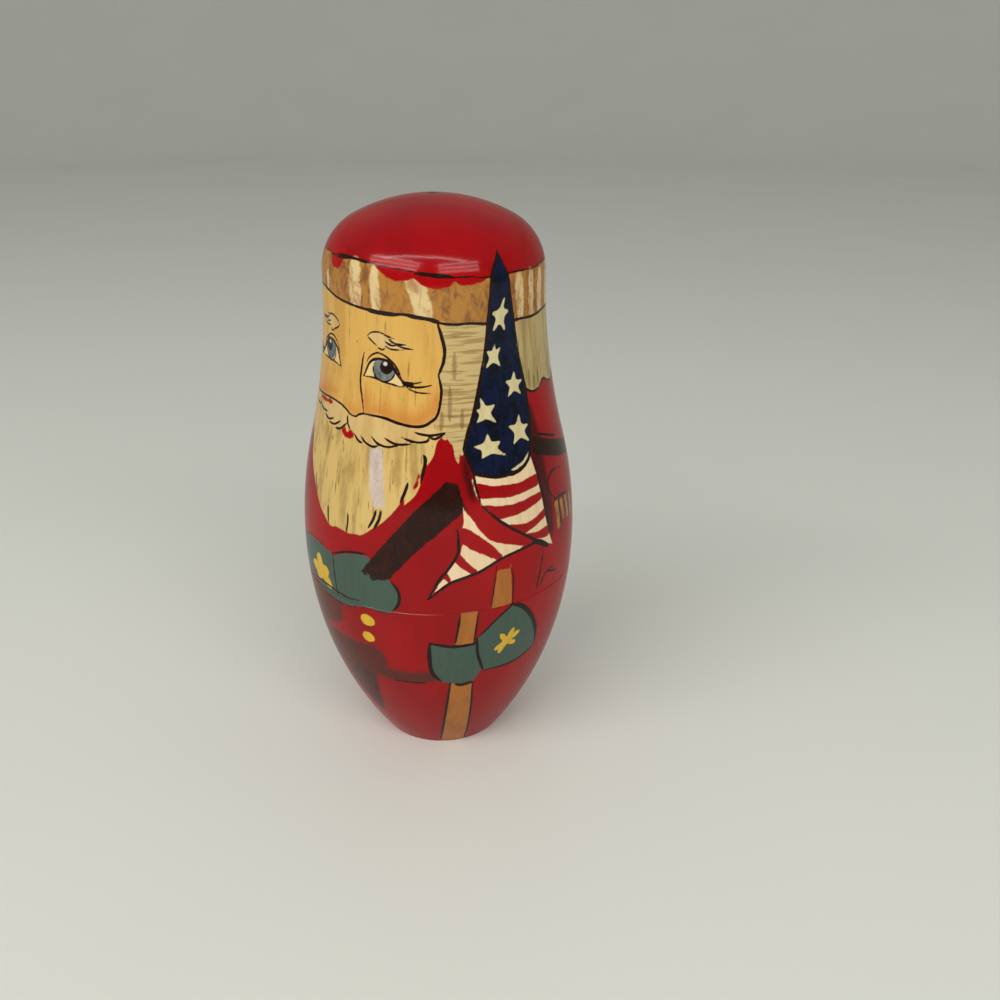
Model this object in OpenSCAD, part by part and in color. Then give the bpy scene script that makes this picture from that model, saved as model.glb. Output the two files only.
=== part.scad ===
// Nesting doll set, turned in lime wood: hollow dolls that each open at a seam into a top and a
// bottom half, one inside the other, around a solid core doll. Millimetres, +Z up, origin at the
// centre of the outer doll's foot. Every doll has the same outline, drawn to its own size.

/* [Outline of the outer doll] */
// Height of the closed outer doll
doll_h = 140; // [120:1:170]
// Diameter at the widest part of the belly
belly_d = 69; // [64:0.5:80]
// Height of the widest part above the foot
belly_z = 57; // [54:0.5:66]
// Diameter of the flat foot
foot_d = 32; // [26:0.5:44]
// Diameter of the head, where it meets the crown
head_d = 52.4; // [46:0.2:58]
// Height of the rounded crown on top of the head
crown_h = 17; // [15:0.5:22]
// Radius of the crown's rounded edge
crown_edge_r = 14; // [8:0.5:14.5]
// Share of the shoulder's S-curve that bulges outwards
shoulder_share = 0.4; // [0.25:0.05:0.75]

/* [Seam and spigot] */
// Height of the outer doll's seam above its foot
seam_z = 49; // [42:0.5:53]
// Width of the eased edge on each side of the seam
seam_ease = 0.35; // [0.2:0.05:0.8]
// Height of the outer doll's spigot above the seam
spigot_h = 7; // [6:0.5:9]
// How much shorter the spigot gets from one doll to the next
spigot_step = 0.8; // [0.4:0.1:1.2]
// Wall of the spigot on the bottom half
spigot_t = 2.3; // [1.8:0.1:2.8]
// Wall of the socket on the top half
socket_t = 2.6; // [2:0.1:3]
// Gap between spigot and socket, on the radius
spigot_gap = 0.1; // [0.05:0.01:0.2]
// Gap between the spigot's end and the socket's shoulder
spigot_end_gap = 0.5; // [0.3:0.1:1]
// Width of the lead-in chamfer on the spigot's rim
spigot_chamfer = 0.5; // [0.3:0.1:0.8]

/* [Nest] */
// Gap between a doll's mouth and the next doll's belly, on the radius
nest_gap = 0.8; // [0.5:0.1:1]

/* [Hidden] */
$fn = 96;

// The dolls of the nest, from the outside in; a doll's place is how many dolls stand around it
NEST = ["outer", "second", "third", "fourth", "core"];
function place(name) = search([name], NEST)[0];

belly_r = belly_d / 2;
foot_r = foot_d / 2;
head_r = head_d / 2;
head_z = doll_h - crown_h;

// Finest turn of an arc between two points of the outline, in degrees
arc_turn = 2.5;

// The flank is one arc from the foot to the belly, upright at the belly
flank_r = (pow(belly_r - foot_r, 2) + pow(belly_z, 2)) / (2 * (belly_r - foot_r));
flank_turn = asin(belly_z / flank_r);

// The shoulder is two arcs, upright at the belly and at the head, that meet at an inflection
shoulder_turn = 2 * atan((belly_r - head_r) / (head_z - belly_z));
shoulder_sum = (head_z - belly_z) / sin(shoulder_turn);
bulge_r = shoulder_share * shoulder_sum;
hollow_r = shoulder_sum - bulge_r;

// The crown is the rounded edge and a dome that is tangent to it
edge_x = head_r - crown_edge_r;
dome_r = (pow(edge_x, 2) + pow(crown_h, 2) - pow(crown_edge_r, 2)) / (2 * (crown_h - crown_edge_r));
edge_turn = atan2(head_z - doll_h + dome_r, edge_x);

// Points on an arc about (x, z), without its first point
function arc(x, z, r, from, to) =
    let (steps = max(3, ceil(abs(to - from) / arc_turn)))
    [for (i = [1:steps]) let (a = from + (to - from) * i / steps) [x + r * cos(a), z + r * sin(a)]];

// Half outline of the outer doll as [radius, height], from the middle of the foot to the crown
outline = concat(
    [[0, 0], [foot_r, 0]],
    arc(belly_r - flank_r, belly_z, flank_r, -flank_turn, 0),
    arc(belly_r - bulge_r, belly_z, bulge_r, 0, shoulder_turn),
    arc(head_r + hollow_r, head_z, hollow_r, 180 + shoulder_turn, 180),
    arc(edge_x, head_z, crown_edge_r, 0, edge_turn),
    arc(0, doll_h - dome_r, dome_r, edge_turn, 90));

// The double wall at the mouth, and what one step into the nest takes off the radius
mouth_t = socket_t + spigot_gap + spigot_t;
nest_step = mouth_t + nest_gap;

// Size of doll k, and of the hollow inside it, against the outer doll
function doll_r(k) = belly_r - k * nest_step;
function doll_scale(k) = doll_r(k) / belly_r;
function hollow_scale(k) = (doll_r(k) - mouth_t) / belly_r;

// Heights of doll k in the closed nest: each foot stands on the floor of the doll around it
function foot_z(k) = k * seam_z * mouth_t / belly_r;
function doll_seam_z(k) = foot_z(k) + seam_z * doll_scale(k);
function doll_spigot_h(k) = spigot_h - k * spigot_step;

// Radius of doll k at its seam, and of its socket and spigot
function seam_r(k) = doll_scale(k) * (belly_r - flank_r + sqrt(pow(flank_r, 2) - pow(belly_z - seam_z, 2)));
function socket_r(k) = doll_r(k) - socket_t;
function spigot_r(k) = socket_r(k) - spigot_gap;

// Half section of doll k, solid
module doll_section(k)
    polygon([for (p = outline) [0, foot_z(k)] + doll_scale(k) * p]);

// Half section of the hollow in doll k: the same outline, drawn smaller about the seam
module hollow_section(k)
    polygon([for (p = outline) [0, doll_seam_z(k)] + hollow_scale(k) * (p - [0, seam_z])]);

// All that lies below, or above, the seam of doll k
module below_seam(k)
    translate([0, foot_z(k)]) square([doll_r(k) + 1, doll_seam_z(k) - foot_z(k)]);
module above_seam(k)
    translate([0, doll_seam_z(k)]) square([doll_r(k) + 1, doll_h]);

// The eased edges at the seam of doll k, as one V-groove
module seam_groove(k)
    translate([seam_r(k) - seam_ease, doll_seam_z(k)])
        polygon([[0, 0], [3 * seam_ease, -3 * seam_ease], [3 * seam_ease, 3 * seam_ease]]);

// Half section of the spigot on doll k, with its lead-in chamfer
module spigot_section(k)
    translate([0, doll_seam_z(k)])
        polygon([[0, -seam_ease], [spigot_r(k), -seam_ease], [spigot_r(k), doll_spigot_h(k) - spigot_chamfer],
                 [spigot_r(k) - spigot_chamfer, doll_spigot_h(k)], [0, doll_spigot_h(k)]]);

// Half section of the socket in the top of doll k
module socket_section(k)
    translate([0, doll_seam_z(k) - seam_ease])
        square([socket_r(k), seam_ease + doll_spigot_h(k) + spigot_end_gap]);

module bottom_half(k)
    rotate_extrude()
        difference() {
            union() {
                difference() {
                    intersection() {
                        doll_section(k);
                        below_seam(k);
                    }
                    seam_groove(k);
                }
                spigot_section(k);
            }
            hollow_section(k);
        }

module top_half(k)
    rotate_extrude()
        difference() {
            intersection() {
                doll_section(k);
                above_seam(k);
            }
            seam_groove(k);
            socket_section(k);
            hollow_section(k);
        }

module outer_bottom() color("firebrick") bottom_half(place("outer"));
module outer_top() color("crimson") top_half(place("outer"));
module second_bottom() color("firebrick") bottom_half(place("second"));
module second_top() color("crimson") top_half(place("second"));
module third_bottom() color("firebrick") bottom_half(place("third"));
module third_top() color("crimson") top_half(place("third"));
module fourth_bottom() color("firebrick") bottom_half(place("fourth"));
module fourth_top() color("crimson") top_half(place("fourth"));
module core_doll() color("firebrick") rotate_extrude() doll_section(place("core"));

outer_bottom();
outer_top();
second_bottom();
second_top();
third_bottom();
third_top();
fourth_bottom();
fourth_top();
core_doll();
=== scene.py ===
"""Hand-painted nesting doll: turned lime-wood shells, a painted winter figure and gloss varnish.

All the dolls of the set share one outline, drawn to each doll's own size, and one painted figure.
The paint is a stack of layers.  A layer is a float attribute on the vertices of the skin: the
signed distance, in millimetres of the outer doll, to the edge of what was painted.  The shader lays
the layers over each other with ragged brush edges, lets the grain of the wood through the pale
ones, and puts a coat of varnish on top.

Azimuths are in degrees round the doll: 0 is the middle of the face, and they grow to the right of
someone who looks at it.
"""

from __future__ import annotations

import logging
import math
from collections.abc import Sequence
from dataclasses import dataclass
from enum import Enum

import bpy
import numpy as np
from mathutils import Matrix, Vector

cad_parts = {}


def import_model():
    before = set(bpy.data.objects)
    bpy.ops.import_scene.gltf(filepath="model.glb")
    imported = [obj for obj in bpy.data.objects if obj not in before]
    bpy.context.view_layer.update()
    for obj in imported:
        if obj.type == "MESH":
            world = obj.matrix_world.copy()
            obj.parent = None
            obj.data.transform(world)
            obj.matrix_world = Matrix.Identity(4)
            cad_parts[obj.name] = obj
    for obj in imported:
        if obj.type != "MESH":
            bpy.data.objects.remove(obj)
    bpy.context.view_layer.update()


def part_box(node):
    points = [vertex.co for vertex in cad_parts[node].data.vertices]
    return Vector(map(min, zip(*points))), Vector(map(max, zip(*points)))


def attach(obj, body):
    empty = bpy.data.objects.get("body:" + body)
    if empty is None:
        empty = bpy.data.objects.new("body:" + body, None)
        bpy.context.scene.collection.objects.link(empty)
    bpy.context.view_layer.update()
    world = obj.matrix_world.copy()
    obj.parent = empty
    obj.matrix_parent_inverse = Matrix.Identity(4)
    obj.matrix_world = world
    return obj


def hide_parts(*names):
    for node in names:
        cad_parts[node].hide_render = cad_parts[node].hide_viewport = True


LOG = logging.getLogger("nesting_doll")
MM = 0.001
SAME_POINT = 1e-6

Array = np.ndarray
Points = Sequence[tuple[float, float]] | Array
Colour = tuple[float, float, float, float]
Socket = bpy.types.NodeSocket


def srgb(red: int, green: int, blue: int) -> Colour:
    """Turns a screen colour into the linear colour that a shader socket takes.

    Args:
        red: Red from 0 to 255.
        green: Green from 0 to 255.
        blue: Blue from 0 to 255.

    Returns:
        The linear colour, opaque.
    """
    screen = np.array([red, green, blue]) / 255.0
    linear = np.where(screen <= 0.04045, screen / 12.92, ((screen + 0.055) / 1.055) ** 2.4)
    return (float(linear[0]), float(linear[1]), float(linear[2]), 1.0)


class Layer(Enum):
    """The layers of paint, in the order in which they are laid."""

    SHADE = "shade"
    FUR = "fur"
    DAB = "dab"
    HAIR = "hair"
    LOCK = "lock"
    BEARD = "beard"
    SKIN = "skin"
    BLUSH = "blush"
    # A painted highlight: a pale stripe down the beard that stands in for light reflected there.
    PAINTED_HIGHLIGHT = "sheen"
    WHISKER = "whisker"
    SASH = "sash"
    RED = "red"
    SMUDGE = "smudge"
    POLE = "pole"
    MITTEN = "mitten"
    STRAP = "strap"
    FLAG = "flag"
    STRIPE = "stripe"
    CANTON = "canton"
    STAR = "star"
    YELLOW = "yellow"
    EYE = "eye"
    IRIS = "iris"
    INK = "ink"
    GLEAM = "gleam"

    @property
    def attribute(self) -> str:
        """Name of the attribute that holds the layer."""
        return f"paint_{self.value}"


class Brush(Enum):
    """How a paint varies over its area."""

    STREAKED = "streaked"
    GRAINED = "grained"
    LINED = "lined"
    BLOTCHED = "blotched"


class Finish(Enum):
    """Material places on a doll's mesh."""

    PAINT = 0
    BARE = 1


@dataclass(frozen=True)
class Paint:
    """One layer's pigment.

    Attributes:
        layer: The layer that it colours.
        colour: Its main colour.
        shade: The colour that its brush marks turn to.
        brush: How the two mix.
        soft: Half width of the edge, in millimetres.
        ragged: How far the edge wanders, in millimetres.
        cover: How much of what lies below it hides.
    """

    layer: Layer
    colour: Colour
    shade: Colour
    brush: Brush = Brush.STREAKED
    soft: float = 0.12
    ragged: float = 0.35
    cover: float = 1.0


PAINTS = (
    Paint(Layer.SHADE, srgb(54, 4, 8), srgb(36, 4, 6), soft=0.8, cover=0.85),
    Paint(Layer.FUR, srgb(174, 124, 58), srgb(130, 86, 54), Brush.BLOTCHED),
    Paint(Layer.DAB, srgb(216, 194, 146), srgb(178, 136, 94), Brush.BLOTCHED, soft=0.3, ragged=0.7),
    Paint(Layer.HAIR, srgb(198, 176, 124), srgb(150, 126, 80), Brush.LINED),
    Paint(Layer.LOCK, srgb(188, 170, 120), srgb(126, 106, 62), Brush.GRAINED, ragged=0.2),
    Paint(Layer.BEARD, srgb(210, 182, 116), srgb(138, 106, 52), Brush.GRAINED, ragged=0.14),
    Paint(Layer.SKIN, srgb(214, 172, 92), srgb(190, 142, 70), Brush.GRAINED),
    Paint(Layer.BLUSH, srgb(196, 104, 36), srgb(182, 92, 32), soft=3.0, cover=0.7),
    # A painted highlight: pale paint that stands in for light reflected down the beard.
    Paint(Layer.PAINTED_HIGHLIGHT, srgb(206, 197, 205), srgb(186, 176, 180), Brush.BLOTCHED, soft=0.4, ragged=0.7,
          cover=0.75),
    Paint(Layer.WHISKER, srgb(211, 183, 126), srgb(190, 154, 96), Brush.GRAINED, ragged=0.15),
    Paint(Layer.SASH, srgb(66, 42, 36), srgb(86, 34, 32), Brush.BLOTCHED, soft=0.7, ragged=0.6, cover=0.86),
    Paint(Layer.RED, srgb(164, 0, 7), srgb(144, 0, 6), soft=0.2, ragged=0.5),
    Paint(Layer.SMUDGE, srgb(104, 70, 30), srgb(90, 58, 24), soft=0.16, ragged=0.2, cover=0.5),
    Paint(Layer.POLE, srgb(172, 108, 50), srgb(144, 86, 38), Brush.GRAINED),
    Paint(Layer.MITTEN, srgb(68, 90, 82), srgb(60, 80, 72)),
    Paint(Layer.STRAP, srgb(34, 9, 3), srgb(46, 14, 6), Brush.BLOTCHED, soft=0.2, ragged=0.4),
    Paint(Layer.FLAG, srgb(232, 210, 176), srgb(218, 186, 148)),
    Paint(Layer.STRIPE, srgb(154, 0, 6), srgb(136, 0, 5), ragged=0.25),
    Paint(Layer.CANTON, srgb(9, 22, 56), srgb(4, 8, 20), Brush.BLOTCHED, ragged=0.15),
    Paint(Layer.STAR, srgb(214, 204, 160), srgb(190, 176, 130), ragged=0.25),
    Paint(Layer.YELLOW, srgb(218, 182, 54), srgb(190, 150, 42), ragged=0.3),
    Paint(Layer.EYE, srgb(226, 200, 146), srgb(210, 180, 122), ragged=0.06),
    Paint(Layer.IRIS, srgb(116, 126, 126), srgb(84, 94, 98), Brush.BLOTCHED, ragged=0.1),
    Paint(Layer.INK, srgb(28, 10, 7), srgb(46, 20, 13), soft=0.07, ragged=0.12),
    Paint(Layer.GLEAM, srgb(222, 222, 214), srgb(204, 204, 194), soft=0.15, ragged=0.1, cover=0.85),
)


@dataclass(frozen=True)
class DollOutline:
    """Half outline that all the dolls share, in millimetres of the outer doll.

    The flank is an arc from the foot that is upright at the belly.  Two arcs lead on from there to
    the head, upright at both ends.  The crown is a rounded edge and a dome tangent to it.
    """

    height: float = 140.0
    belly_r: float = 34.5
    belly_z: float = 57.0
    foot_r: float = 16.0
    head_r: float = 26.2
    crown_h: float = 17.0
    crown_edge_r: float = 14.0
    shoulder_share: float = 0.4
    seam_z: float = 49.0
    pip_r: float = 0.9
    pip_depth: float = 0.4
    samples: int = 400

    def _arc(self, x: float, z: float, radius: float, start: float, end: float) -> Array:
        """Points on an arc about (x, z), from one angle to another, in radians."""
        turn = np.linspace(start, end, self.samples)
        return np.column_stack([x + radius * np.cos(turn), z + radius * np.sin(turn)])

    def points(self) -> Array:
        """Works out the outline as dense points.

        Returns:
            Rows of radius and height, from the edge of the foot to the top of the crown.
        """
        swell = self.belly_r - self.foot_r
        flank_r = (swell**2 + self.belly_z**2) / (2 * swell)
        head_z = self.height - self.crown_h
        turn = 2 * math.atan((self.belly_r - self.head_r) / (head_z - self.belly_z))
        both = (head_z - self.belly_z) / math.sin(turn)
        bulge_r = self.shoulder_share * both
        hollow_r = both - bulge_r
        edge_x = self.head_r - self.crown_edge_r
        dome_rise = self.crown_h - self.crown_edge_r
        dome_r = (edge_x**2 + self.crown_h**2 - self.crown_edge_r**2) / (2 * dome_rise)
        edge_turn = math.atan2(head_z - self.height + dome_r, edge_x)
        foot_turn = -math.asin(self.belly_z / flank_r)
        arcs = [
            self._arc(self.belly_r - flank_r, self.belly_z, flank_r, foot_turn, 0),
            self._arc(self.belly_r - bulge_r, self.belly_z, bulge_r, 0, turn),
            self._arc(self.head_r + hollow_r, head_z, hollow_r, math.pi + turn, math.pi),
            self._arc(edge_x, head_z, self.crown_edge_r, 0, edge_turn),
            self._arc(0, self.height - dome_r, dome_r, edge_turn, math.pi / 2),
        ]
        line = np.concatenate([arcs[0], *(arc[1:] for arc in arcs[1:])])
        line[-1, 0] = 0.0
        return line

    def radius(self, height: Array) -> Array:
        """Radius of the outline at each height, for heights below the crown's dome."""
        line = self.points()
        return np.interp(height, line[:, 1], line[:, 0])

    def rows(self, low: float, high: float, count: int, weight: Points = ((0.0, 1.0),)) -> Array:
        """Spreads rows along the outline, closer together where the weight is higher.

        The rows stand at even steps of the running sum of weight times length along the outline.

        Args:
            low: Height of the first row.
            high: Height of the last row.
            count: How many rows.
            weight: Heights and the weight at each.  Alone, one height gives even rows.

        Returns:
            Rows of radius and height.
        """
        line = self.points()
        ends = np.array([[np.interp(z, line[:, 1], line[:, 0]), z] for z in (low, high)])
        between = line[(line[:, 1] > low) & (line[:, 1] < high)]
        line = np.concatenate([ends[:1], between, ends[1:]])
        step = np.linalg.norm(np.diff(line, axis=0), axis=1)
        middle = (line[1:, 1] + line[:-1, 1]) / 2
        heights, weights = np.array(weight).T
        run = np.concatenate([[0.0], np.cumsum(step * np.interp(middle, heights, weights))])
        at = np.linspace(0.0, run[-1], count)
        return np.column_stack([np.interp(at, run, line[:, 0]), np.interp(at, run, line[:, 1])])


@dataclass(frozen=True)
class Stroke:
    """One pull of the brush.

    Attributes:
        points: Azimuths and heights that it runs through.
        width: Its fullest width, in millimetres.
        tail: Share of the width that is left at its ends.
    """

    points: Points
    width: float
    tail: float = 0.25


def curve(points: Points, closed: bool = False, pieces: int = 8) -> Array:
    """Runs a Catmull-Rom curve through the points.  A point given twice is a sharp corner.

    Args:
        points: Azimuths and heights.
        closed: Whether the curve comes back to its start.
        pieces: Straight pieces from one point to the next.

    Returns:
        Rows of azimuth and height along the curve.
    """
    knots = np.array(points, dtype=float)
    if closed:
        knots = np.concatenate([knots[-1:], knots, knots[:2]])
    else:
        knots = np.concatenate([2 * knots[:1] - knots[1:2], knots, 2 * knots[-1:] - knots[-2:-1]])
    before, start, end, after = knots[:-3], knots[1:-2], knots[2:-1], knots[3:]
    t = np.linspace(0.0, 1.0, pieces, endpoint=False)[None, :, None]
    b, s, e, a = (k[:, None, :] for k in (before, start, end, after))
    path = s + 0.5 * t * (e - b + t * (2 * b - 5 * s + 4 * e - a + t * (3 * (s - e) + a - b)))
    path = np.concatenate([path.reshape(-1, 2), knots[-2:-1]])
    return path[np.concatenate([[True], np.abs(np.diff(path, axis=0)).sum(axis=1) > SAME_POINT])]


def mirrored(points: Points, lift: float = 0.0) -> Points:
    """The same points on the other side of the face, a little higher or lower."""
    return [(-azimuth, height + lift) for azimuth, height in points]


def sharp(points: Points) -> Points:
    """The same points, each given twice, so that a curve has a sharp corner there."""
    return [point for point in points for _ in range(2)]


def level(line: Points, azimuth: Array | float) -> Array:
    """Height of a line that runs round the doll, at each azimuth."""
    return np.interp(azimuth, *np.array(line).T, period=360.0)


def around(line: Points, sway: float, step: float = 7.5) -> Points:
    """Takes a line once round the doll to close on itself, as an unsteady hand draws it.

    The sway is the sum of a slow wave and a quick one, both of which fit the turn.

    Args:
        line: Azimuths and heights.
        sway: Height of each wave, in millimetres.
        step: Degrees from one point to the next.

    Returns:
        Rows of azimuth and height.
    """
    azimuth = np.arange(-180.0, 180.0 + step / 2, step)
    waves = np.sin(np.radians(azimuth * 5)) + np.sin(np.radians(azimuth * 13 + 40))
    return np.column_stack([azimuth, level(line, azimuth) + sway * waves])


def in_space(radius: Array, azimuth: Array, height: Array) -> Array:
    """Works out points at (r sin a, -r cos a, z), whole arrays at a time.

    Args:
        radius: Radii r.
        azimuth: Azimuths a, in degrees.
        height: Heights z.

    Returns:
        The points, with x, y and z along the last axis.
    """
    turn = np.radians(azimuth)
    places = np.broadcast_arrays(radius * np.sin(turn), -radius * np.cos(turn), height)
    return np.stack(places, axis=-1)


class Canvas:
    """The skin of one half as a grid of points, and the layers of paint on it.

    Attributes:
        FAR: What a layer holds where none of it is near, in millimetres.
        CHUNK: How many points and path pieces are paired at once.
        SWELL: How soon a stroke is at its full width; at 1 it would be at its middle.
        DAB: Width of a brushed star's middle against its strokes.
        NO_LENGTH: Stands in for the squared length of a path piece that has none.
        NO_RISE: Stands in for the rise of a path piece that is level.
    """

    FAR = 7.0
    CHUNK = 1_500_000
    SWELL = 1.6
    DAB = 1.5
    NO_LENGTH = 1e-12
    NO_RISE = 1e-9

    def __init__(self, outline: DollOutline, rows: Array, columns: Array) -> None:
        """Lays out the grid.

        Args:
            outline: The doll's outline.
            rows: Radius and height of each row.
            columns: Azimuth of each column, in degrees.
        """
        self.outline = outline
        self.rows = rows
        self.shape = (len(rows), len(columns))
        self.azimuth = np.tile(columns, len(rows))
        self.height = np.repeat(rows[:, 1], len(columns))
        self.points = in_space(np.repeat(rows[:, 0], len(columns)), self.azimuth, self.height)
        self.layers = {layer: np.full(len(self.azimuth), self.FAR) for layer in Layer}

    def on_skin(self, path: Array) -> Array:
        """Puts a path of azimuths and heights on the doll's skin, as points in space."""
        azimuth, height = path.T
        return in_space(self.outline.radius(height), azimuth, height)

    def _unwrapped(self, path: Array) -> Array:
        """The grid's azimuths, taken within half a turn of the middle of a path."""
        middle = (path[:, 0].min() + path[:, 0].max()) / 2
        return (self.azimuth - middle + 180.0) % 360.0 - 180.0 + middle

    def _near(self, path: Array, azimuth: Array) -> Array:
        """Finds the grid points that lie within reach of a path.

        Args:
            path: Rows of azimuth and height.
            azimuth: The grid's azimuths, unwrapped for the path.

        Returns:
            Numbers of the points.
        """
        reach = math.degrees(self.FAR / self.outline.head_r)
        low, high = path.min(axis=0), path.max(axis=0)
        beside = (azimuth > low[0] - reach) & (azimuth < high[0] + reach)
        level_with = (self.height > low[1] - self.FAR) & (self.height < high[1] + self.FAR)
        return np.flatnonzero(beside & level_with)

    def _clearance(self, near: Array, path: Array, half_width: Array) -> Array:
        """Measures how far grid points lie from the edge of a path.

        Args:
            near: Numbers of the grid points.
            path: Rows of azimuth and height.
            half_width: Half width of the path at each row.

        Returns:
            Least distance to the path, less its half width there.
        """
        line = self.on_skin(path)
        start, run = line[:-1], np.diff(line, axis=0)
        length = np.maximum((run**2).sum(axis=1), self.NO_LENGTH)
        grow = np.diff(half_width)
        best = []
        for chunk in np.array_split(near, 1 + len(near) * len(run) // self.CHUNK):
            offset = self.points[chunk][:, None, :] - start
            t = np.clip((offset * run).sum(axis=2) / length, 0.0, 1.0)
            gap = np.linalg.norm(offset - t[..., None] * run, axis=2)
            best.append((gap - half_width[:-1] - t * grow).min(axis=1))
        return np.concatenate(best)

    def _inside(self, azimuth: Array, height: Array, path: Array) -> Array:
        """Tells which points a closed path goes round, by counting its crossings to their right.

        Args:
            azimuth: The points' azimuths, unwrapped for the path.
            height: The points' heights.
            path: Rows of azimuth and height.

        Returns:
            True for each point inside.
        """
        x0, z0 = path[:-1].T
        x1, z1 = path[1:].T
        rise = np.where(z1 == z0, self.NO_RISE, z1 - z0)
        found = []
        for chunk in np.array_split(np.arange(len(azimuth)), 1 + len(azimuth) * len(x0) // self.CHUNK):
            z = height[chunk][:, None]
            crosses = (z0 > z) != (z1 > z)
            at = x0 + (z - z0) / rise * (x1 - x0)
            found.append((crosses & (azimuth[chunk][:, None] < at)).sum(axis=1) % 2 == 1)
        return np.concatenate(found)

    def lay(self, layer: Layer, near: Array, values: Array) -> None:
        """Adds a shape to a layer: the nearer edge wins."""
        self.layers[layer][near] = np.minimum(self.layers[layer][near], values)

    def lay_all(self, layer: Layer, values: Array) -> None:
        """Adds a shape to a layer, at every point of the grid."""
        self.lay(layer, np.arange(len(self.azimuth)), values)

    def patch(self, layer: Layer, points: Points) -> None:
        """Paints the inside of a closed curve.

        Args:
            layer: The layer.
            points: Azimuths and heights that the curve runs through.
        """
        path = curve(points, closed=True)
        azimuth = self._unwrapped(path)
        near = self._near(path, azimuth)
        if len(near) == 0:
            return
        gap = self._clearance(near, path, np.zeros(len(path)))
        inside = self._inside(azimuth[near], self.height[near], path)
        self.lay(layer, near, np.where(inside, -gap, gap))

    def patches(self, layer: Layer, shapes: Sequence[Points]) -> None:
        """Paints the insides of several closed curves in one layer."""
        for points in shapes:
            self.patch(layer, points)

    def stroke(self, layer: Layer, stroke: Stroke) -> None:
        """Paints one pull of the brush, which swells from its ends to its middle.

        Args:
            layer: The layer.
            stroke: The stroke.
        """
        path = curve(stroke.points)
        near = self._near(path, self._unwrapped(path))
        if len(near) == 0:
            return
        along = np.linspace(0.0, 1.0, len(path))
        swell = np.clip(np.sin(np.pi * along) * self.SWELL, 0.0, 1.0)
        half_width = stroke.width / 2 * (stroke.tail + (1 - stroke.tail) * swell)
        self.lay(layer, near, self._clearance(near, path, half_width))

    def strokes(self, layer: Layer, strokes: Sequence[Stroke]) -> None:
        """Paints several strokes in one layer."""
        for stroke in strokes:
            self.stroke(layer, stroke)

    def scratches(self, layer: Layer, marks: Sequence[tuple[float, float, float]], lean: float,
                  width: float,
                  tail: float = 0.3) -> None:
        """Paints several short, nearly upright marks in one layer.

        Args:
            layer: The layer.
            marks: Azimuth, lower end and upper end of each.
            lean: Degrees that the upper end lies to the right of the lower one.
            width: Their width, in millimetres.
            tail: Share of the width that is left at their ends.
        """
        for azimuth, low, high in marks:
            self.stroke(layer, Stroke([(azimuth, low), (azimuth + lean, high)], width, tail))

    def spot(self, layer: Layer, azimuth: float, height: float, wide: float, tall: float) -> None:
        """Paints an oval.

        Args:
            layer: The layer.
            azimuth: Azimuth of its middle.
            height: Height of its middle.
            wide: Its half width, in millimetres.
            tall: Its half height, in millimetres.
        """
        per_mm = math.degrees(1.0 / float(self.outline.radius(np.array([height]))[0]))
        turns = np.radians(np.arange(0, 360, 30))
        self.patch(layer, np.column_stack([
            azimuth + wide * per_mm * np.cos(turns), height + tall * np.sin(turns)]))

    def star(self, layer: Layer, middle: tuple[float, float], tips: Points, waist: float = 0.62) -> None:
        """Paints a star with blunt tips, whose sides bow in.

        Args:
            layer: The layer.
            middle: Azimuth and height of its middle.
            tips: Azimuths and heights of its tips, in order.
            waist: How far out from the middle the sides bow in to, as a share of the way.
        """
        centre, points = np.array(middle), np.array(tips)
        notches = centre + waist * ((points + np.roll(points, -1, axis=0)) / 2 - centre)
        self.patch(layer, np.stack([points, notches], axis=1).reshape(-1, 2))

    def brushed_star(self, layer: Layer, middle: tuple[float, float], tips: Points, width: float) -> None:
        """Paints a star as a hand does: a dab, and one pull of the brush out to each tip."""
        self.spot(layer, *middle, width * self.DAB / 2, width * self.DAB / 2)
        self.strokes(layer, [Stroke([middle, tip], width, tail=0.5) for tip in tips])

    def dot_on_crown(self, layer: Layer, radius: float) -> None:
        """Paints a round dot on the middle of the crown."""
        self.lay_all(layer, np.hypot(self.points[:, 0], self.points[:, 1]) - radius)

    def band(self, layer: Layer, low: Points, high: Points) -> None:
        """Paints a belt all the way round, between two lines of azimuths and heights."""
        below, above = level(low, self.azimuth), level(high, self.azimuth)
        self.lay_all(layer, np.maximum(below - self.height, self.height - above))

    def cut(self, layer: Layer, by: Layer) -> None:
        """Takes one layer's area out of another's."""
        self.layers[layer] = np.maximum(self.layers[layer], -self.layers[by])

    def keep(self, layer: Layer, within: Layer) -> None:
        """Keeps only what one layer shares with another."""
        self.layers[layer] = np.maximum(self.layers[layer], self.layers[within])


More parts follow.
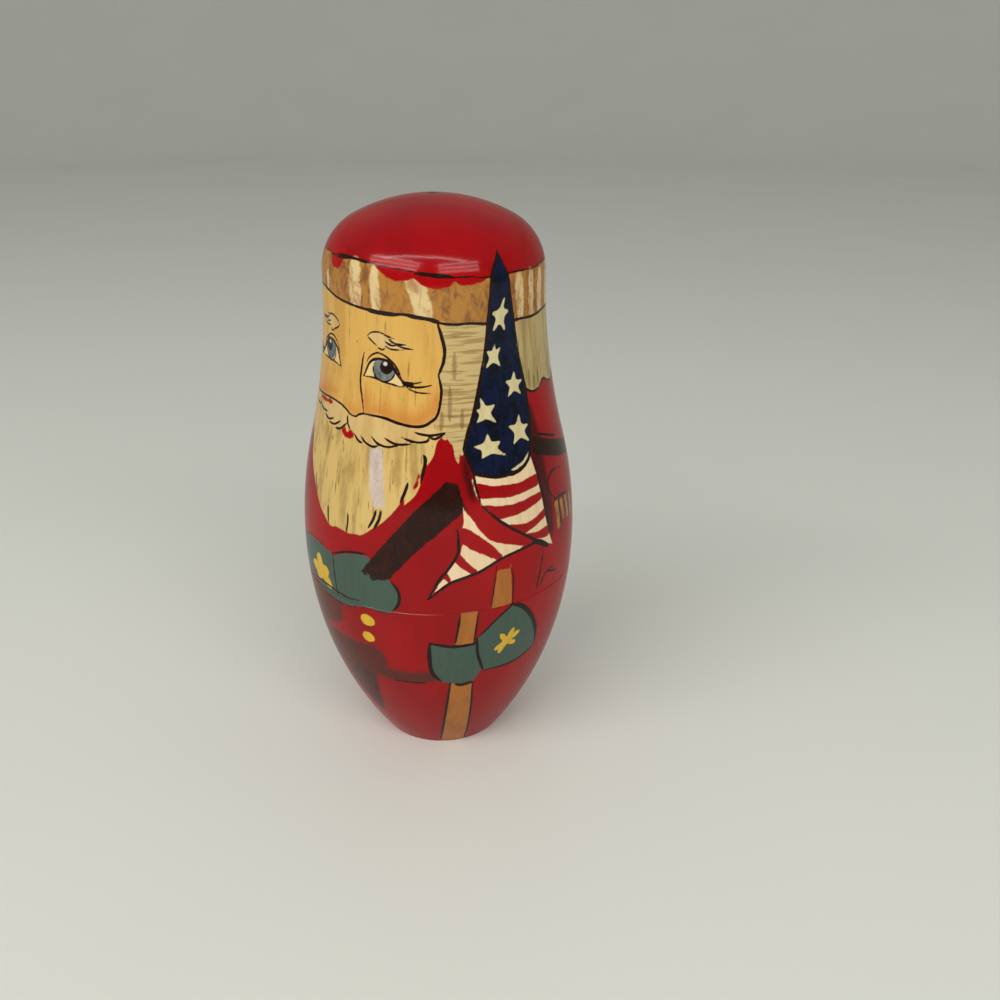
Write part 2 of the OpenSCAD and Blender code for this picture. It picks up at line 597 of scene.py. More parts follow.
@dataclass(frozen=True)
class UpperFigure:
    """What is painted on a top half: hat, hair, face, beard, flag, strap and the mitten that holds it.

    Points are azimuths in degrees and heights in millimetres of the outer doll.  A dab of cream on
    the fur brim has the azimuths of its foot and its head, a width, and a share of the brim's height.
    The dabs at the back are drawn by chance: how far each leans, then its width and its share.

    Attributes:
        plain_hair: How many points of hair_foot come before its scallops.
        unseen_dabs: First azimuth, end and step of the dabs drawn by chance.
        dab_least: Least lean, width and share of those.
        dab_most: Greatest lean, width and share of those.
        dab_inset: How far a dab stays from the brim's edges.
        crown_dot_r: Radius of the dark dot on the crown.
        iris: Azimuth and height of the iris's middle, in the eye to the right of the nose as seen.
        iris_half: Half width and half height of the iris, in millimetres.
        iris_ring: The same for the line round it, in degrees and millimetres.
        eye_corner: Azimuth of the eye's inner corner.
        eye_lift: How much higher the other eye's inner corner is.
        eye_slant: How much the other eye rises for each degree outward.
        seed: Start of the chance.
    """

    fur_top: Points = (
        (-180, 126.0), (-120, 127.0), (-70, 128.4), (-29, 128.6), (4, 128.1), (21, 127.3), (38, 126.1),
        (57, 125.4), (71, 125.1), (87, 125.1), (102, 125.3), (121, 126.0), (150, 126.3))
    fur_foot: Points = (
        (-180, 117.0), (-140, 118.0), (-90, 120.0), (-60, 121.0), (-33, 121.0), (-9, 119.5), (3, 117.9),
        (18, 117.5), (36, 117.1), (53, 115.6), (67, 115.3), (86, 114.4), (120, 115.3), (150, 116.2))
    hair_foot: Points = (
        (44, 92), (47.3, 91.7), (50.7, 90.2), (53, 89), (57, 88), (62, 92), (75, 98), (89, 99.4),
        (92, 98.4), (96, 97.7), (101, 98), (106.5, 99.5), (113, 98.2), (119, 97.8), (125, 99.3),
        (134, 97.6), (144, 99.2), (154, 97.2), (165, 98.8), (176, 97), (188, 98.6), (200, 97), (212, 98.8),
        (224, 97.2), (236, 98.8), (248, 97), (260, 98.6), (270, 96.8), (280, 97.4), (290, 94.4), (303, 90),
        (316, 92))
    skin: Points = (
        (45, 122), (46.4, 113), (47.8, 110), (47.2, 107.4), (44.8, 104.6), (44.8, 104.6), (45.9, 101.6),
        (45.4, 98.8), (43.5, 95.5), (38.7, 93.7), (33.6, 93.3), (26.7, 93.8), (19.3, 94.7), (9.2, 94.9),
        (6.2, 94.4), (4.4, 93.9), (1.3, 94), (-1.7, 94.8), (-6.5, 95.7), (-15, 96.1), (-30, 95.7),
        (-39, 95.4), (-44.5, 97.5), (-46.2, 101), (-45, 105), (-45, 105), (-47.6, 108), (-48, 111),
        (-46.5, 114), (-45, 122))
    beard: Points = (
        (47, 93), (43.6, 90), (42.2, 87.4), (39.4, 85), (39.4, 85), (38.4, 86), (37.5, 82.6), (36, 80),
        (34, 78), (30.2, 76), (30.2, 76), (29.6, 78), (28.6, 76.5), (26.6, 74.8), (23.4, 72.7), (20, 70.8),
        (17, 69.6), (14, 68.2), (11.6, 67.4), (9.2, 67.3), (6, 67), (3, 67.2), (-1.2, 67.5), (-5, 67.1),
        (-8.8, 68.6), (-13.4, 70.8), (-17.8, 74.2), (-22.4, 77.2), (-27, 80.4), (-33, 84.4), (-40, 89),
        (-47, 93), (-30, 97), (0, 96), (30, 95))
    brow: Points = (
        (10.4, 112.5), (13, 113.4), (17, 113.5), (21, 112.7), (26, 111.7), (31, 110.9), (31, 110.9),
        (27, 109.9), (22, 109.6), (17.6, 110.3), (13, 110.9))
    eye: Points = (
        (7.8, 103.3), (7.8, 103.3), (9.6, 105), (10.8, 106.1), (12.4, 107), (15.2, 107.5), (17.6, 107.5),
        (20, 107.3), (22, 106.9), (23.4, 106), (25.6, 104.5), (27.4, 103.4), (29.6, 102.4), (29.6, 102.4),
        (26.6, 102), (24, 102.2), (19, 102.6), (14.3, 103.2), (11.6, 103.3))
    canton: Points = (
        (77.8, 129.8), (77.8, 129.8), (73.4, 126.6), (72.2, 124.4), (71.4, 120.6), (70.2, 116.2),
        (68.6, 111), (66.2, 106), (63.4, 100.4), (60.4, 95.3), (57.6, 91.8), (55, 88.2), (55, 88.2),
        (57, 85.2), (59.2, 82.9), (63.7, 81.9), (69.8, 81.2), (75.6, 81.2), (81.4, 82), (85.6, 83.7),
        (87.6, 85.6), (89, 88.6), (90.2, 92.4), (90, 96.4), (89.4, 100.4), (88, 105), (86, 110),
        (84.4, 116), (82.8, 120.4), (81.8, 123.8), (80.4, 126.2))
    fly: Points = (
        (57.8, 84), (58.3, 82.4), (59.2, 79), (60.9, 75.2), (60.9, 75.2), (66.8, 71.8), (71.7, 69.4),
        (78.6, 66.5), (83.8, 64.4), (92.6, 61.4), (96.2, 60.2), (96.2, 60.2), (93.6, 64.2), (92, 67.6),
        (90.3, 73.8), (89, 79), (87, 84), (87, 84), (77, 82.6), (69, 82.4), (63, 83))
    strap: Points = (
        (47, 81.4), (47, 81.4), (51.6, 80.6), (51.6, 80.6), (54.2, 74.8), (54.2, 74.8), (44, 69.8),
        (35.6, 65.6), (27, 60), (23.6, 57.6), (19, 57.1), (16.8, 56.3), (16.8, 56.3), (15.4, 57.7),
        (11.3, 58.3), (11.3, 58.3), (20, 65), (32, 73.4), (41, 78.4))
    cuff: Points = (
        (-3.6, 59.6), (-3.6, 59.6), (-6, 60.2), (-14, 61), (-24, 60.6), (-33, 58.6), (-33, 58.6), (-35, 54),
        (-32, 50.8), (-22, 50), (-12, 49), (-2.9, 48), (-2.9, 48))
    hand: Points = (
        (-3.6, 59.6), (-3.6, 59.6), (1, 60.9), (5.4, 61.8), (14.4, 62.4), (19, 60), (24.6, 56.8),
        (27.1, 54.7), (27.2, 52.4), (24.4, 49.4), (20, 47), (-2.9, 47), (-2.9, 47))
    dabs: tuple[tuple[float, float, float, float], ...] = (
        (-22, -21, 1.4, 0.5), (3, 2, 3.4, 1.0), (15, 14, 2.4, 0.95), (39, 34, 4.2, 1.0),
        (90, 89, 2.6, 0.95), (99, 99, 2.2, 1.0), (108, 109, 2.6, 0.9))
    plain_hair: int = 7
    unseen_dabs: tuple[int, int, int] = (122, 318, 13)
    dab_least: tuple[float, float, float] = (-3.0, 1.4, 0.6)
    dab_most: tuple[float, float, float] = (3.0, 4.0, 1.0)
    dab_inset: float = 0.5
    crown_dot_r: float = 1.7
    iris: tuple[float, float] = (18.9, 105.4)
    iris_half: tuple[float, float] = (2.6, 2.75)
    iris_ring: tuple[float, float] = (5.7, 2.75)
    eye_corner: float = 8.0
    eye_lift: float = 0.7
    eye_slant: float = 0.12
    seed: int = 7

    def hat(self, canvas: Canvas) -> None:
        """Paints the dot on the crown, the fur brim with its dabs, and the red that ran over it.

        Args:
            canvas: The skin of a top half.
        """
        canvas.dot_on_crown(Layer.SHADE, self.crown_dot_r)
        canvas.band(Layer.FUR, self.fur_foot, self.fur_top)
        chance = np.random.default_rng(self.seed)
        feet = np.arange(*self.unseen_dabs)
        drawn = chance.uniform(self.dab_least, self.dab_most, (len(feet), 3))
        unseen = [(foot, foot + lean, width, share) for foot, (lean, width, share) in zip(feet, drawn)]
        for foot, head, width, share in (*self.dabs, *unseen):
            low = float(level(self.fur_foot, foot)) + self.dab_inset
            high = float(level(self.fur_top, head)) - self.dab_inset
            tip = low + (high - low) * share
            middle = ((foot + head) / 2, (low + tip) / 2)
            canvas.stroke(Layer.DAB, Stroke([(foot, low), middle, (head, tip)], width, tail=0.8))
        canvas.patch(Layer.RED, [
            (10, 129), (15, 127.2), (19, 125.9), (25, 124.6), (31, 124.9), (35, 125.1), (39, 123.6),
            (45, 123.1), (50, 123.4), (53, 124.4), (58, 123.6), (64, 123.9), (69, 124.8), (68, 126.6),
            (40, 128.4)])
        canvas.patch(Layer.RED, [(-20, 130), (-18, 127), (-14, 125.6), (-9, 126), (-7, 128), (-8, 130)])
        canvas.strokes(Layer.INK, [
            Stroke(around(self.fur_foot, 0.22), 0.62, tail=1.0),
            Stroke([(8, 118.1), (14, 117.7), (20, 117.5), (27, 117.4)], 1.05, tail=0.3),
            Stroke([(30, 117.3), (38, 116.9), (46, 116.2)], 0.9, tail=0.3),
            Stroke(around(self.fur_top, 0.18), 0.42, tail=1.0),
            Stroke([(-16, 128.5), (-6, 128.5), (4, 128.2), (12, 127.7)], 0.7, tail=0.3),
            Stroke([(34, 126.4), (42, 126), (52, 125.7)], 0.85, tail=0.3),
        ])

    def hair(self, canvas: Canvas) -> None:
        """Paints the hair from the brim down, with its scalloped end inked at the sides and back.

        Args:
            canvas: The skin of a top half.
        """
        canvas.band(Layer.HAIR, curve(self.hair_foot), self.fur_foot)
        scallops = self.hair_foot[self.plain_hair:]
        # Each stroke takes in three steps of the edge, thinner at the side than at the back.
        for first in range(0, len(scallops) - 5, 3):
            width = 0.6 if scallops[first][0] < 120 else 0.9
            canvas.stroke(Layer.INK, Stroke(scallops[first:first + 4], width, tail=0.6))
        canvas.patch(Layer.LOCK, [(80, 122), (80, 122), (80, 98.6), *scallops, (316, 122), (316, 122)])
        for layer in (Layer.HAIR, Layer.LOCK):
            canvas.cut(layer, Layer.FUR)
        strands = [
            [(50.4, 91), (51.6, 88), (52.2, 85.2)], [(48, 92.6), (49.4, 90.6), (50.2, 89.6)],
            [(45.8, 93), (46.6, 91.4), (47.4, 90.6)], [(52.6, 92), (53.6, 88.6), (54, 87)],
        ]
        canvas.strokes(Layer.HAIR, [Stroke(strand, 1.1) for strand in strands])
        canvas.scratches(Layer.SMUDGE, (
            (49.3, 94.6, 102), (52, 103.5, 109.5), (45.5, 92.4, 96.6), (97, 98.4, 101.4),
            (101, 98.6, 102.6), (93.4, 98.8, 103), (54.6, 92.6, 97)), lean=0.5, width=0.9, tail=0.4)
        self._comb(canvas)

    def _comb(self, canvas: Canvas, count: int = 10, first_z: float = 95.6, pitch: float = 1.9) -> None:
        """Paints faint, level comb marks from the cheek's edge to the flag's, each a little uneven.

        Args:
            canvas: The skin of a top half.
            count: How many marks.
            first_z: Height of the lowest.
            pitch: Height from one to the next.
        """
        cheek_edge, far_end = 49.6, 56.6
        for step in range(count):
            # Sines of the step stand in for the hand's unevenness.
            z = first_z + pitch * step + 0.4 * math.sin(5.0 * step)
            flag_edge = 59.0 + 0.42 * (z - 95.0)
            start = cheek_edge + 1.2 * math.sin(2.3 * step)
            end = min(far_end + 1.6 * math.sin(1.7 * step + 1), flag_edge)
            mark = [(start, z), ((start + end) / 2, z - 0.25), (end, z - 0.15)]
            canvas.stroke(Layer.SMUDGE, Stroke(mark, 0.3, tail=0.3))

    def face(self, canvas: Canvas) -> None:
        """Paints the skin, the blush on the cheeks, the nose, both eyes and both brows.

        Args:
            canvas: The skin of a top half.
        """
        canvas.patch(Layer.SKIN, self.skin)
        canvas.cut(Layer.SKIN, Layer.FUR)
        cheek = [(12, 96.2), (19, 96), (26, 95), (34, 94.6), (41, 96.6), (44, 100)]
        canvas.strokes(Layer.BLUSH, [
            Stroke(cheek, 2.2),
            Stroke(mirrored(cheek, 1.8), 2.2),
            Stroke([(10, 98.6), (9.6, 96.6), (12, 95.4)], 1.6),
            Stroke([(8.4, 97), (5, 95), (-1, 95.6)], 0.3),
        ])
        # Most of this ink follows the skin's own edge, stretch by stretch.
        canvas.strokes(Layer.INK, [
            Stroke(self.skin[5:10], 0.62, tail=0.7),
            Stroke(self.skin[8:14], 0.68, tail=0.6),
            Stroke([(44.8, 116), (46.6, 113), (47.9, 110), (47.2, 107.4), (44.8, 104.6)], 0.78, tail=0.55),
            Stroke(self.skin[15:22], 0.5, tail=0.7),
            Stroke(self.skin[21:25], 0.5, tail=0.7),
            Stroke([*self.skin[25:29], (-45.5, 120)], 0.6, tail=0.55),
            Stroke([(8, 108.6), (7.2, 107), (6.4, 104.5), (6, 102.6), (6.3, 100.6), (7.3, 98.6),
                    (8.8, 95.2)], 0.52, tail=0.45),
            Stroke([(9.2, 94.9), (6.2, 94.5), (4.4, 93.9), (1.3, 94)], 0.45, tail=0.6),
        ])
        canvas.stroke(Layer.RED, Stroke([(-13, 95.2), (-20, 95), (-28, 95)], 1.1, tail=0.3))
        for side in (1, -1):
            self._eye(canvas, side)
        for azimuth, height, size in (
            (3.5, 110.6, 0.3), (28.6, 99, 0.24), (17.6, 113, 0.2), (12.4, 99.4, 0.18), (20, 97.8, 0.2),
            (-3, 103, 0.18),
        ):
            canvas.spot(Layer.SMUDGE, azimuth, height, size, size)
        canvas.scratches(Layer.SMUDGE, (
            (17.2, 95.4, 102), (-2, 110, 118), (19.5, 112, 116), (31, 104, 108), (34, 99, 102.6)),
            lean=0.3, width=0.3)

    def _eye(self, canvas: Canvas, side: int) -> None:
        """Paints one eye and its brow.  The eye to the left of the nose sits higher, and slants.

        Args:
            canvas: The skin of a top half.
            side: 1 for the eye to the right of the nose, as seen, or -1 for the other.
        """
        def placed(azimuth: float, height: float) -> tuple[float, float]:
            """One point on this eye's side."""
            lift = self.eye_lift + self.eye_slant * (azimuth - self.eye_corner)
            return side * azimuth, height + (0.0 if side > 0 else lift)

        def turned(points: Points) -> Points:
            """The points on this eye's side."""
            return [placed(azimuth, height) for azimuth, height in points]

        canvas.patch(Layer.EYE, turned(self.eye))
        canvas.spot(Layer.IRIS, *placed(*self.iris), *self.iris_half)
        canvas.keep(Layer.IRIS, Layer.EYE)
        canvas.spot(Layer.INK, *placed(20.1, 105.8), wide=1.55, tall=1.5)
        canvas.spot(Layer.GLEAM, *placed(19.6, 106.6), wide=0.5, tall=0.45)
        turn = np.radians(np.arange(150, 381, 15))
        circle = np.column_stack([np.cos(turn), np.sin(turn)])
        ring = np.array(self.iris) + np.array(self.iris_ring) * circle
        lines = [
            ([(9.2, 106), (10.4, 107.3), (12.7, 108.3), (15.6, 108.8), (18.6, 108.5), (21, 107.9),
              (23.2, 107.1), (25, 106.2), (26.6, 104.8), (27.8, 103.5), (30, 102.7)], 0.45),
            ([(7.6, 103.2), (8.8, 104.1), (10.6, 106), (12.6, 107), *self.eye[5:11], (27.8, 103.1),
              (30.6, 102.2)], 0.62),
            ([(7.6, 103.3), (11.6, 103.3), (14.3, 103.2), (19, 102.6), (24, 102.2), (26.6, 101.9),
              (31, 102)], 0.42),
            ([(29, 102.8), (30.6, 102.9), (34, 102.8), (38, 103.2)], 0.4),
            ([(29, 102.3), (30.6, 102.2), (34, 101.9), (37.5, 102), (41.6, 102.4)], 0.5),
            ([(29.6, 102), (31.8, 101.3), (35.2, 100.8), (37.6, 100.7), (41.4, 100.7)], 0.42),
            ([(27.8, 102.9), (30.6, 102.4), (33.6, 102)], 0.9),
            (ring, 0.4),
        ]
        canvas.strokes(Layer.INK, [Stroke(turned(points), width, tail=0.4) for points, width in lines])
        canvas.patch(Layer.WHISKER, turned(self.brow))
        hairs = [
            [(9.6, 112.3), (12.6, 113.2), (17, 113.3), (20.4, 112.7), (24.2, 112.2)],
            [(21, 112.1), (24.6, 111.2), (30, 111)],
            [(24, 111.2), (28.4, 110.4), (33.4, 110.1)], [(9.8, 112.2), (12.4, 111.2), (15.4, 110.3)],
            [(15.4, 110), (18, 109.6), (19.4, 110)], [(19, 110.6), (22.4, 109.9), (28.6, 109.9)],
            [(19, 111.6), (22, 110.8), (25, 110.7)],
        ]
        canvas.strokes(Layer.INK, [Stroke(turned(hair), 0.42, tail=0.35) for hair in hairs])

    def beard_and_moustache(self, canvas: Canvas) -> None:
        """Paints the beard with its few inked tips, a painted highlight down it, the two wings of the
        moustache, and the lip.

        Args:
            canvas: The skin of a top half.
        """
        canvas.patch(Layer.BEARD, self.beard)
        canvas.strokes(Layer.RED, [
            Stroke([(36, 83), (34.8, 80.8), (33.8, 79.4)], 0.6, tail=0.3),
            Stroke([(38.4, 82.4), (36.6, 79.6)], 0.5, tail=0.3),
        ])
        tips = [
            ([(-7.1, 72), (-6.9, 70), (-6.4, 67.4)], 0.6), ([(4.8, 72.2), (5, 69.8), (4.2, 66.4)], 0.5),
            ([(18.5, 74.4), (17.3, 72), (14.8, 69.3)], 0.7),
            ([(20.7, 74.4), (19.6, 71.8), (17.2, 69.2)], 0.7),
            ([(31.5, 81.2), (30.2, 78.8), (28.2, 76.2)], 0.75),
            ([(37.7, 87.4), (38.5, 86), (37.7, 83.6), (36.4, 80.6)], 0.8),
            ([(-20, 78), (-18.4, 75.6), (-15.6, 73)], 0.5), ([(-34, 87), (-32, 84.4), (-28, 81)], 0.7),
        ]
        canvas.strokes(Layer.INK, [Stroke(points, width, tail=0.15) for points, width in tips])
        canvas.scratches(Layer.SMUDGE, (
            (30.6, 81, 92.6), (17, 71, 76), (-12.4, 82, 88), (10, 74, 79), (-3, 76, 84), (24, 78, 84)),
            lean=-0.2, width=0.34)
        # A painted highlight: a pale stripe down the beard, laid in paint for light reflected there.
        canvas.patch(Layer.PAINTED_HIGHLIGHT, [
            (13.4, 87.6), (13.4, 87.6), (19.4, 87.7), (19.4, 87.7), (20.6, 82), (21.8, 75), (21.8, 75),
            (16, 74.6), (16, 74.6), (14.6, 81)])
        canvas.patch(Layer.WHISKER, [
            (-0.6, 93.9), (1.3, 94), (4.5, 93.8), (9.2, 94.7), (19.3, 94.6), (26.7, 93.7), (33.6, 93.2),
            (39, 93.2), (43, 92.8), (47.6, 92), (47.6, 92), (43, 90.8), (39.6, 90.2), (36.2, 89.8),
            (32.8, 89.4), (26, 88.6), (20.8, 88.2), (14.6, 87.8), (9.2, 88.2), (6.8, 88.7), (4, 89.8),
            (1.4, 90.7)])
        canvas.patch(Layer.WHISKER, [
            (-0.8, 91.8), (-0.8, 94.2), (-6.5, 95.4), (-15, 95.8), (-30, 95.4), (-40, 94.6), (-47, 94),
            (-47, 94), (-40, 92.4), (-34, 92.6), (-29, 93), (-23, 92.2), (-19.6, 91.4), (-14.8, 90.2),
            (-8.6, 89.7), (-4.6, 90.2)])
        curls = [
            [(4, 90.2), (6.8, 88.8), (9.4, 88.3)], [(7.4, 90.3), (10.8, 88.7), (14.6, 88), (17.8, 88.4)],
            [(13.7, 90.3), (16.4, 89.1), (20.9, 88.4), (26.2, 88.8)],
            [(20, 90.4), (23.2, 89.6), (26.9, 89.2), (33, 89.5)],
            [(27.2, 91), (31.9, 90.2), (36.3, 89.9), (39.6, 90.3), (39.7, 90.9)],
            [(33.4, 92.2), (36.7, 91.7), (41.6, 91.5), (47.5, 92.1)],
            [(40, 91.2), (42.9, 90.7), (47.5, 92)],
            [(-0.9, 93.8), (-0.2, 92), (1.6, 90.6)], [(-29.4, 94.4), (-23.4, 92.7), (-17, 92.6)],
            [(-19.8, 92), (-15.4, 91.2), (-10.4, 91.9)], [(-14.9, 90.6), (-9.8, 90.6), (-5, 91.9)],
            [(-8.6, 89.9), (-4.7, 90.2), (-0.7, 91.9)], [(-38, 94.6), (-33, 93.2), (-27, 93)],
            [(-46.6, 94), (-41, 92.6), (-36, 93)],
        ]
        canvas.strokes(Layer.INK, [Stroke(points, 0.56, tail=0.35) for points in curls])
        canvas.patch(Layer.RED, [
            (-4, 90.1), (-1.4, 90.8), (-1.4, 90.8), (0, 89.9), (2.2, 90.5), (4.4, 89.9), (3.8, 89),
            (1.4, 88.5), (-1.4, 88.8)])

    def flag(self, canvas: Canvas) -> None:
        """Paints the furled flag: starred canton, striped fly and the striped lobe that folds out.

        Args:
            canvas: The skin of a top half.
        """
        canvas.patch(Layer.FLAG, self.fly)
        lobe = [
            [(53.2, 75.2), (53.2, 75.2), (55.2, 73.5), (60.2, 69.1), (66.2, 66), (79.4, 63.3), (79.4, 63.3),
             (68.9, 62.3), (68.9, 62.3), (64.1, 65.7), (57.5, 69.1), (53.2, 70.8), (53.2, 70.8)],
            [(52.5, 66.8), (52.5, 66.8), (57.3, 64.7), (62, 63.2), (66.4, 61.6), (66.4, 61.6), (58.4, 59.7),
             (58.4, 59.7), (54.6, 62), (51.6, 64.3), (51.6, 64.3)],
            [(49.1, 62.6), (49.1, 62.6), (51.6, 61.1), (55.5, 59.1), (55.5, 59.1), (48, 57.9), (48, 57.9),
             (46.1, 60.1), (46.1, 60.1)],
            [(44.9, 58.7), (44.9, 58.7), (46.8, 57.3), (46.8, 57.3), (40.8, 54.6), (40.8, 54.6)],
        ]
        stripes = [
            [(58.6, 80.4), (65.7, 79.4), (71.7, 79), (78.3, 78.8), (90, 79.4), (90.6, 77), (80.2, 76.2),
             (72.7, 76), (66.6, 76.5), (59.6, 77.2)],
            [(60.6, 75.3), (68.6, 74.5), (78.1, 74.3), (91, 75), (91.4, 73.5), (80.2, 71.8), (71.9, 71.4),
             (66.4, 71.9)],
            [(71.4, 69.6), (79.7, 68.8), (85.3, 69.3), (91.8, 70.6), (92.4, 68.9), (84, 67.1), (78, 66.6)],
            [(80, 66.1), (86.7, 65.7), (92.8, 66), (93.8, 64), (90.7, 63.3), (83.6, 64.4)],
        ]
        canvas.patches(Layer.FLAG, lobe)
        canvas.patches(Layer.STRIPE, stripes)
        canvas.keep(Layer.STRIPE, Layer.FLAG)
        canvas.patch(Layer.CANTON, self.canton)
        for layer in (Layer.FLAG, Layer.CANTON):
            canvas.cut(Layer.INK, layer)
        for middle, tips in (
            ((76.3, 116.8), [(79.2, 120.3), (81.4, 117.2), (78.8, 113.2), (72.2, 113.3), (71.8, 117.2)]),
            ((71.8, 107.8), [(72.8, 110.5), (75.9, 109.5), (75.4, 105.4), (67.6, 105.4), (68.6, 109)]),
            ((82.4, 100.7), [(83.1, 103.6), (87.8, 101.2), (86.4, 98.2), (78.4, 98.2), (77.9, 101.7)]),
            ((65.2, 95.6), [(64, 98.9), (70.6, 97.1), (70.8, 93.1), (61.4, 93.6), (61.6, 96.4)]),
            ((82.4, 90.4), [(83.6, 93.7), (88.4, 91), (87.6, 87.3), (78.8, 87.5), (77, 91.7)]),
            ((65.6, 88), [(66.1, 91), (71.9, 88.8), (74.2, 85.4), (62.6, 85.7), (59.1, 88.5)]),
        ):
            canvas.star(Layer.STAR, middle, tips)
        canvas.strokes(Layer.INK, [
            Stroke([(78, 130.2), (73.2, 126.6), (71.8, 124.4), (71, 120.6), (69.8, 116.2), (68.2, 111),
                    (65.8, 106)], 0.85, tail=0.5),
            Stroke([(66.2, 107), (63, 100.4), (60, 95.3), (57.2, 91.8), (54.6, 88)], 0.95, tail=0.5),
            Stroke([(77.8, 130), (80.6, 126.2), (82, 123.8), (83, 120.4), (84.6, 116), (86.3, 110),
                    (88.3, 105)], 0.5, tail=0.6),
            Stroke([(87.8, 106), (89.7, 100.4), (90.3, 96.4), (90.5, 92.4), (89.4, 88.6),
                    (87.6, 85.4)], 0.7, tail=0.5),
            Stroke([(54.6, 88.2), (56.8, 85), (59, 82.7), (63.7, 81.7), (69.8, 81),
                    (75.6, 81)], 0.75, tail=0.7),
            Stroke([(72, 81), (77, 81.1), (81.8, 81.9), (86, 83.6), (88, 85.8)], 0.9, tail=0.4),
            Stroke([(57.6, 84.4), (58.4, 82.2), (59.2, 79), (60.9, 75)], 0.55, tail=0.5),
            Stroke([(60.9, 75.2), (66.8, 71.7), (71.7, 69.3), (78.6, 66.4), (83.8, 64.3),
                    (92.6, 61.2)], 0.75, tail=0.7),
            Stroke([(88.8, 83), (89.8, 78), (91, 73.8), (92.6, 67.6), (94, 64.2)], 0.8, tail=0.5),
            Stroke([(83.6, 63.6), (88, 62.6), (93, 60.4)], 1.4, tail=0.15),
            Stroke([(93.2, 64.4), (95, 62), (96.6, 59.8)], 0.4),
            Stroke([(50.6, 70.6), (51, 67), (50.4, 64.4), (47, 61), (43.4, 58.3),
                    (38.6, 53)], 0.75, tail=0.45),
            Stroke([(38.6, 53), (43.5, 55.6), (48.7, 57.6), (59.1, 59.5), (68.9, 61.9), (82.7, 63.1),
                    (87, 63.2)], 0.75, tail=0.5),
        ])
        canvas.strokes(Layer.STAR, [
            Stroke([(86.4, 84.9), (83.4, 83.2), (79, 82.3), (75.4, 81.9)], 0.7, tail=0.15),
            Stroke([(57.4, 82), (58.2, 79.6), (59.6, 76.6)], 0.3, tail=0.3),
        ])
        canvas.strokes(Layer.SHADE, [
            Stroke([(91, 94), (91, 86), (91.4, 78), (93, 70), (95, 63.6)], 5.0, tail=0.4),
            Stroke([(54.8, 86), (56, 81), (57.6, 76.6)], 1.8, tail=0.4),
        ])

    def dress(self, canvas: Canvas) -> None:
        """Paints the strap, the mitten that holds it, the pole, and the marks on the sleeve.

        Args:
            canvas: The skin of a top half.
        """
        canvas.patch(Layer.STRAP, self.strap)
        canvas.patches(Layer.MITTEN, (self.cuff, self.hand))
        canvas.brushed_star(Layer.YELLOW, (-13.3, 53.7), [
            (-15, 57.3), (-8.6, 54.4), (-7.3, 50.6), (-16.2, 51.6), (-20.4, 54)], 2.8)
        canvas.patch(Layer.POLE, sharp([(66.3, 59.2), (72.2, 58.8), (73.3, 47), (63.5, 47)]))
        canvas.patch(Layer.STRAP, [
            (89, 88), (89, 88), (105, 85.2), (121, 82.4), (150, 77), (190, 69.6), (230, 63.4), (270, 59.4),
            (300, 58.4), (328, 58.4), (328, 53.6), (300, 53.4), (270, 54.6), (230, 58.6), (190, 65),
            (150, 73), (121, 78.6), (106, 80.8), (89, 84), (89, 84)])
        for azimuth, top, foot in (
            (98.9, 70.8, 63.4), (103.6, 70.2, 64.6), (108.8, 70, 64), (114, 69.6, 63.6),
        ):
            bar = [(azimuth, top), (azimuth + 3, top), (azimuth + 4.4, foot), (azimuth + 1.6, foot)]
            canvas.patch(Layer.FUR, sharp(bar))
            edge = [(azimuth + 3.4, top + 0.4), (azimuth + 4.8, foot - 0.3)]
            canvas.stroke(Layer.INK, Stroke(edge, 0.75, tail=0.8))
        canvas.strokes(Layer.INK, [
            Stroke([(-3.6, 59.8), (-3.4, 55), (-2.8, 49)], 0.45, tail=0.6),
            Stroke([(-4.6, 60), (1, 61.4), (5.4, 62.3), (10, 62.8), (14.4, 62.9)], 0.65, tail=0.6),
            Stroke([(23.6, 57.6), (26.6, 55.4), (27.6, 53.4), (26.8, 51), (24, 49)], 0.85, tail=0.3),
            Stroke([(-33, 51), (-22, 50.2), (-12, 50.6), (-3, 50.2), (3, 49.8), (9.6, 50)], 0.6, tail=0.6),
            Stroke([(-33, 59), (-24, 61), (-14, 61.4), (-5.4, 60.3)], 0.45),
            Stroke([(11, 58.5), (13, 57.8), (15.6, 57.4), (16.8, 56.1)], 0.45),
            Stroke([(66, 60.2), (65, 55), (63.6, 48.8)], 0.4, tail=0.7),
            Stroke([(72.7, 59), (73.6, 55), (73.5, 48.8)], 0.45, tail=0.7),
            Stroke([(89.6, 60.4), (87.8, 55.3), (85.8, 50.2)], 0.5, tail=0.5),
            Stroke([(97, 54.6), (91, 53.6), (88.2, 51)], 0.55, tail=0.6),
            Stroke([(100, 52.6), (93.4, 53.6)], 0.6, tail=0.6),
            Stroke([(93, 88.2), (102, 86.6), (110, 85.2)], 0.75, tail=0.6),
            Stroke([(108, 77.6), (102, 78.3), (97.4, 77.4), (95, 75.7), (97, 73.1),
                    (100.2, 71.3)], 0.6, tail=0.6),
            Stroke([(97, 70.8), (104, 71.2), (112, 70.6)], 0.65, tail=0.6),
        ])

    def paint(self, canvas: Canvas) -> None:
        """Paints the whole top half.

        Args:
            canvas: The skin of a top half.
        """
        self.hat(canvas)
        self.hair(canvas)
        self.beard_and_moustache(canvas)
        self.face(canvas)
        self.flag(canvas)
        self.dress(canvas)


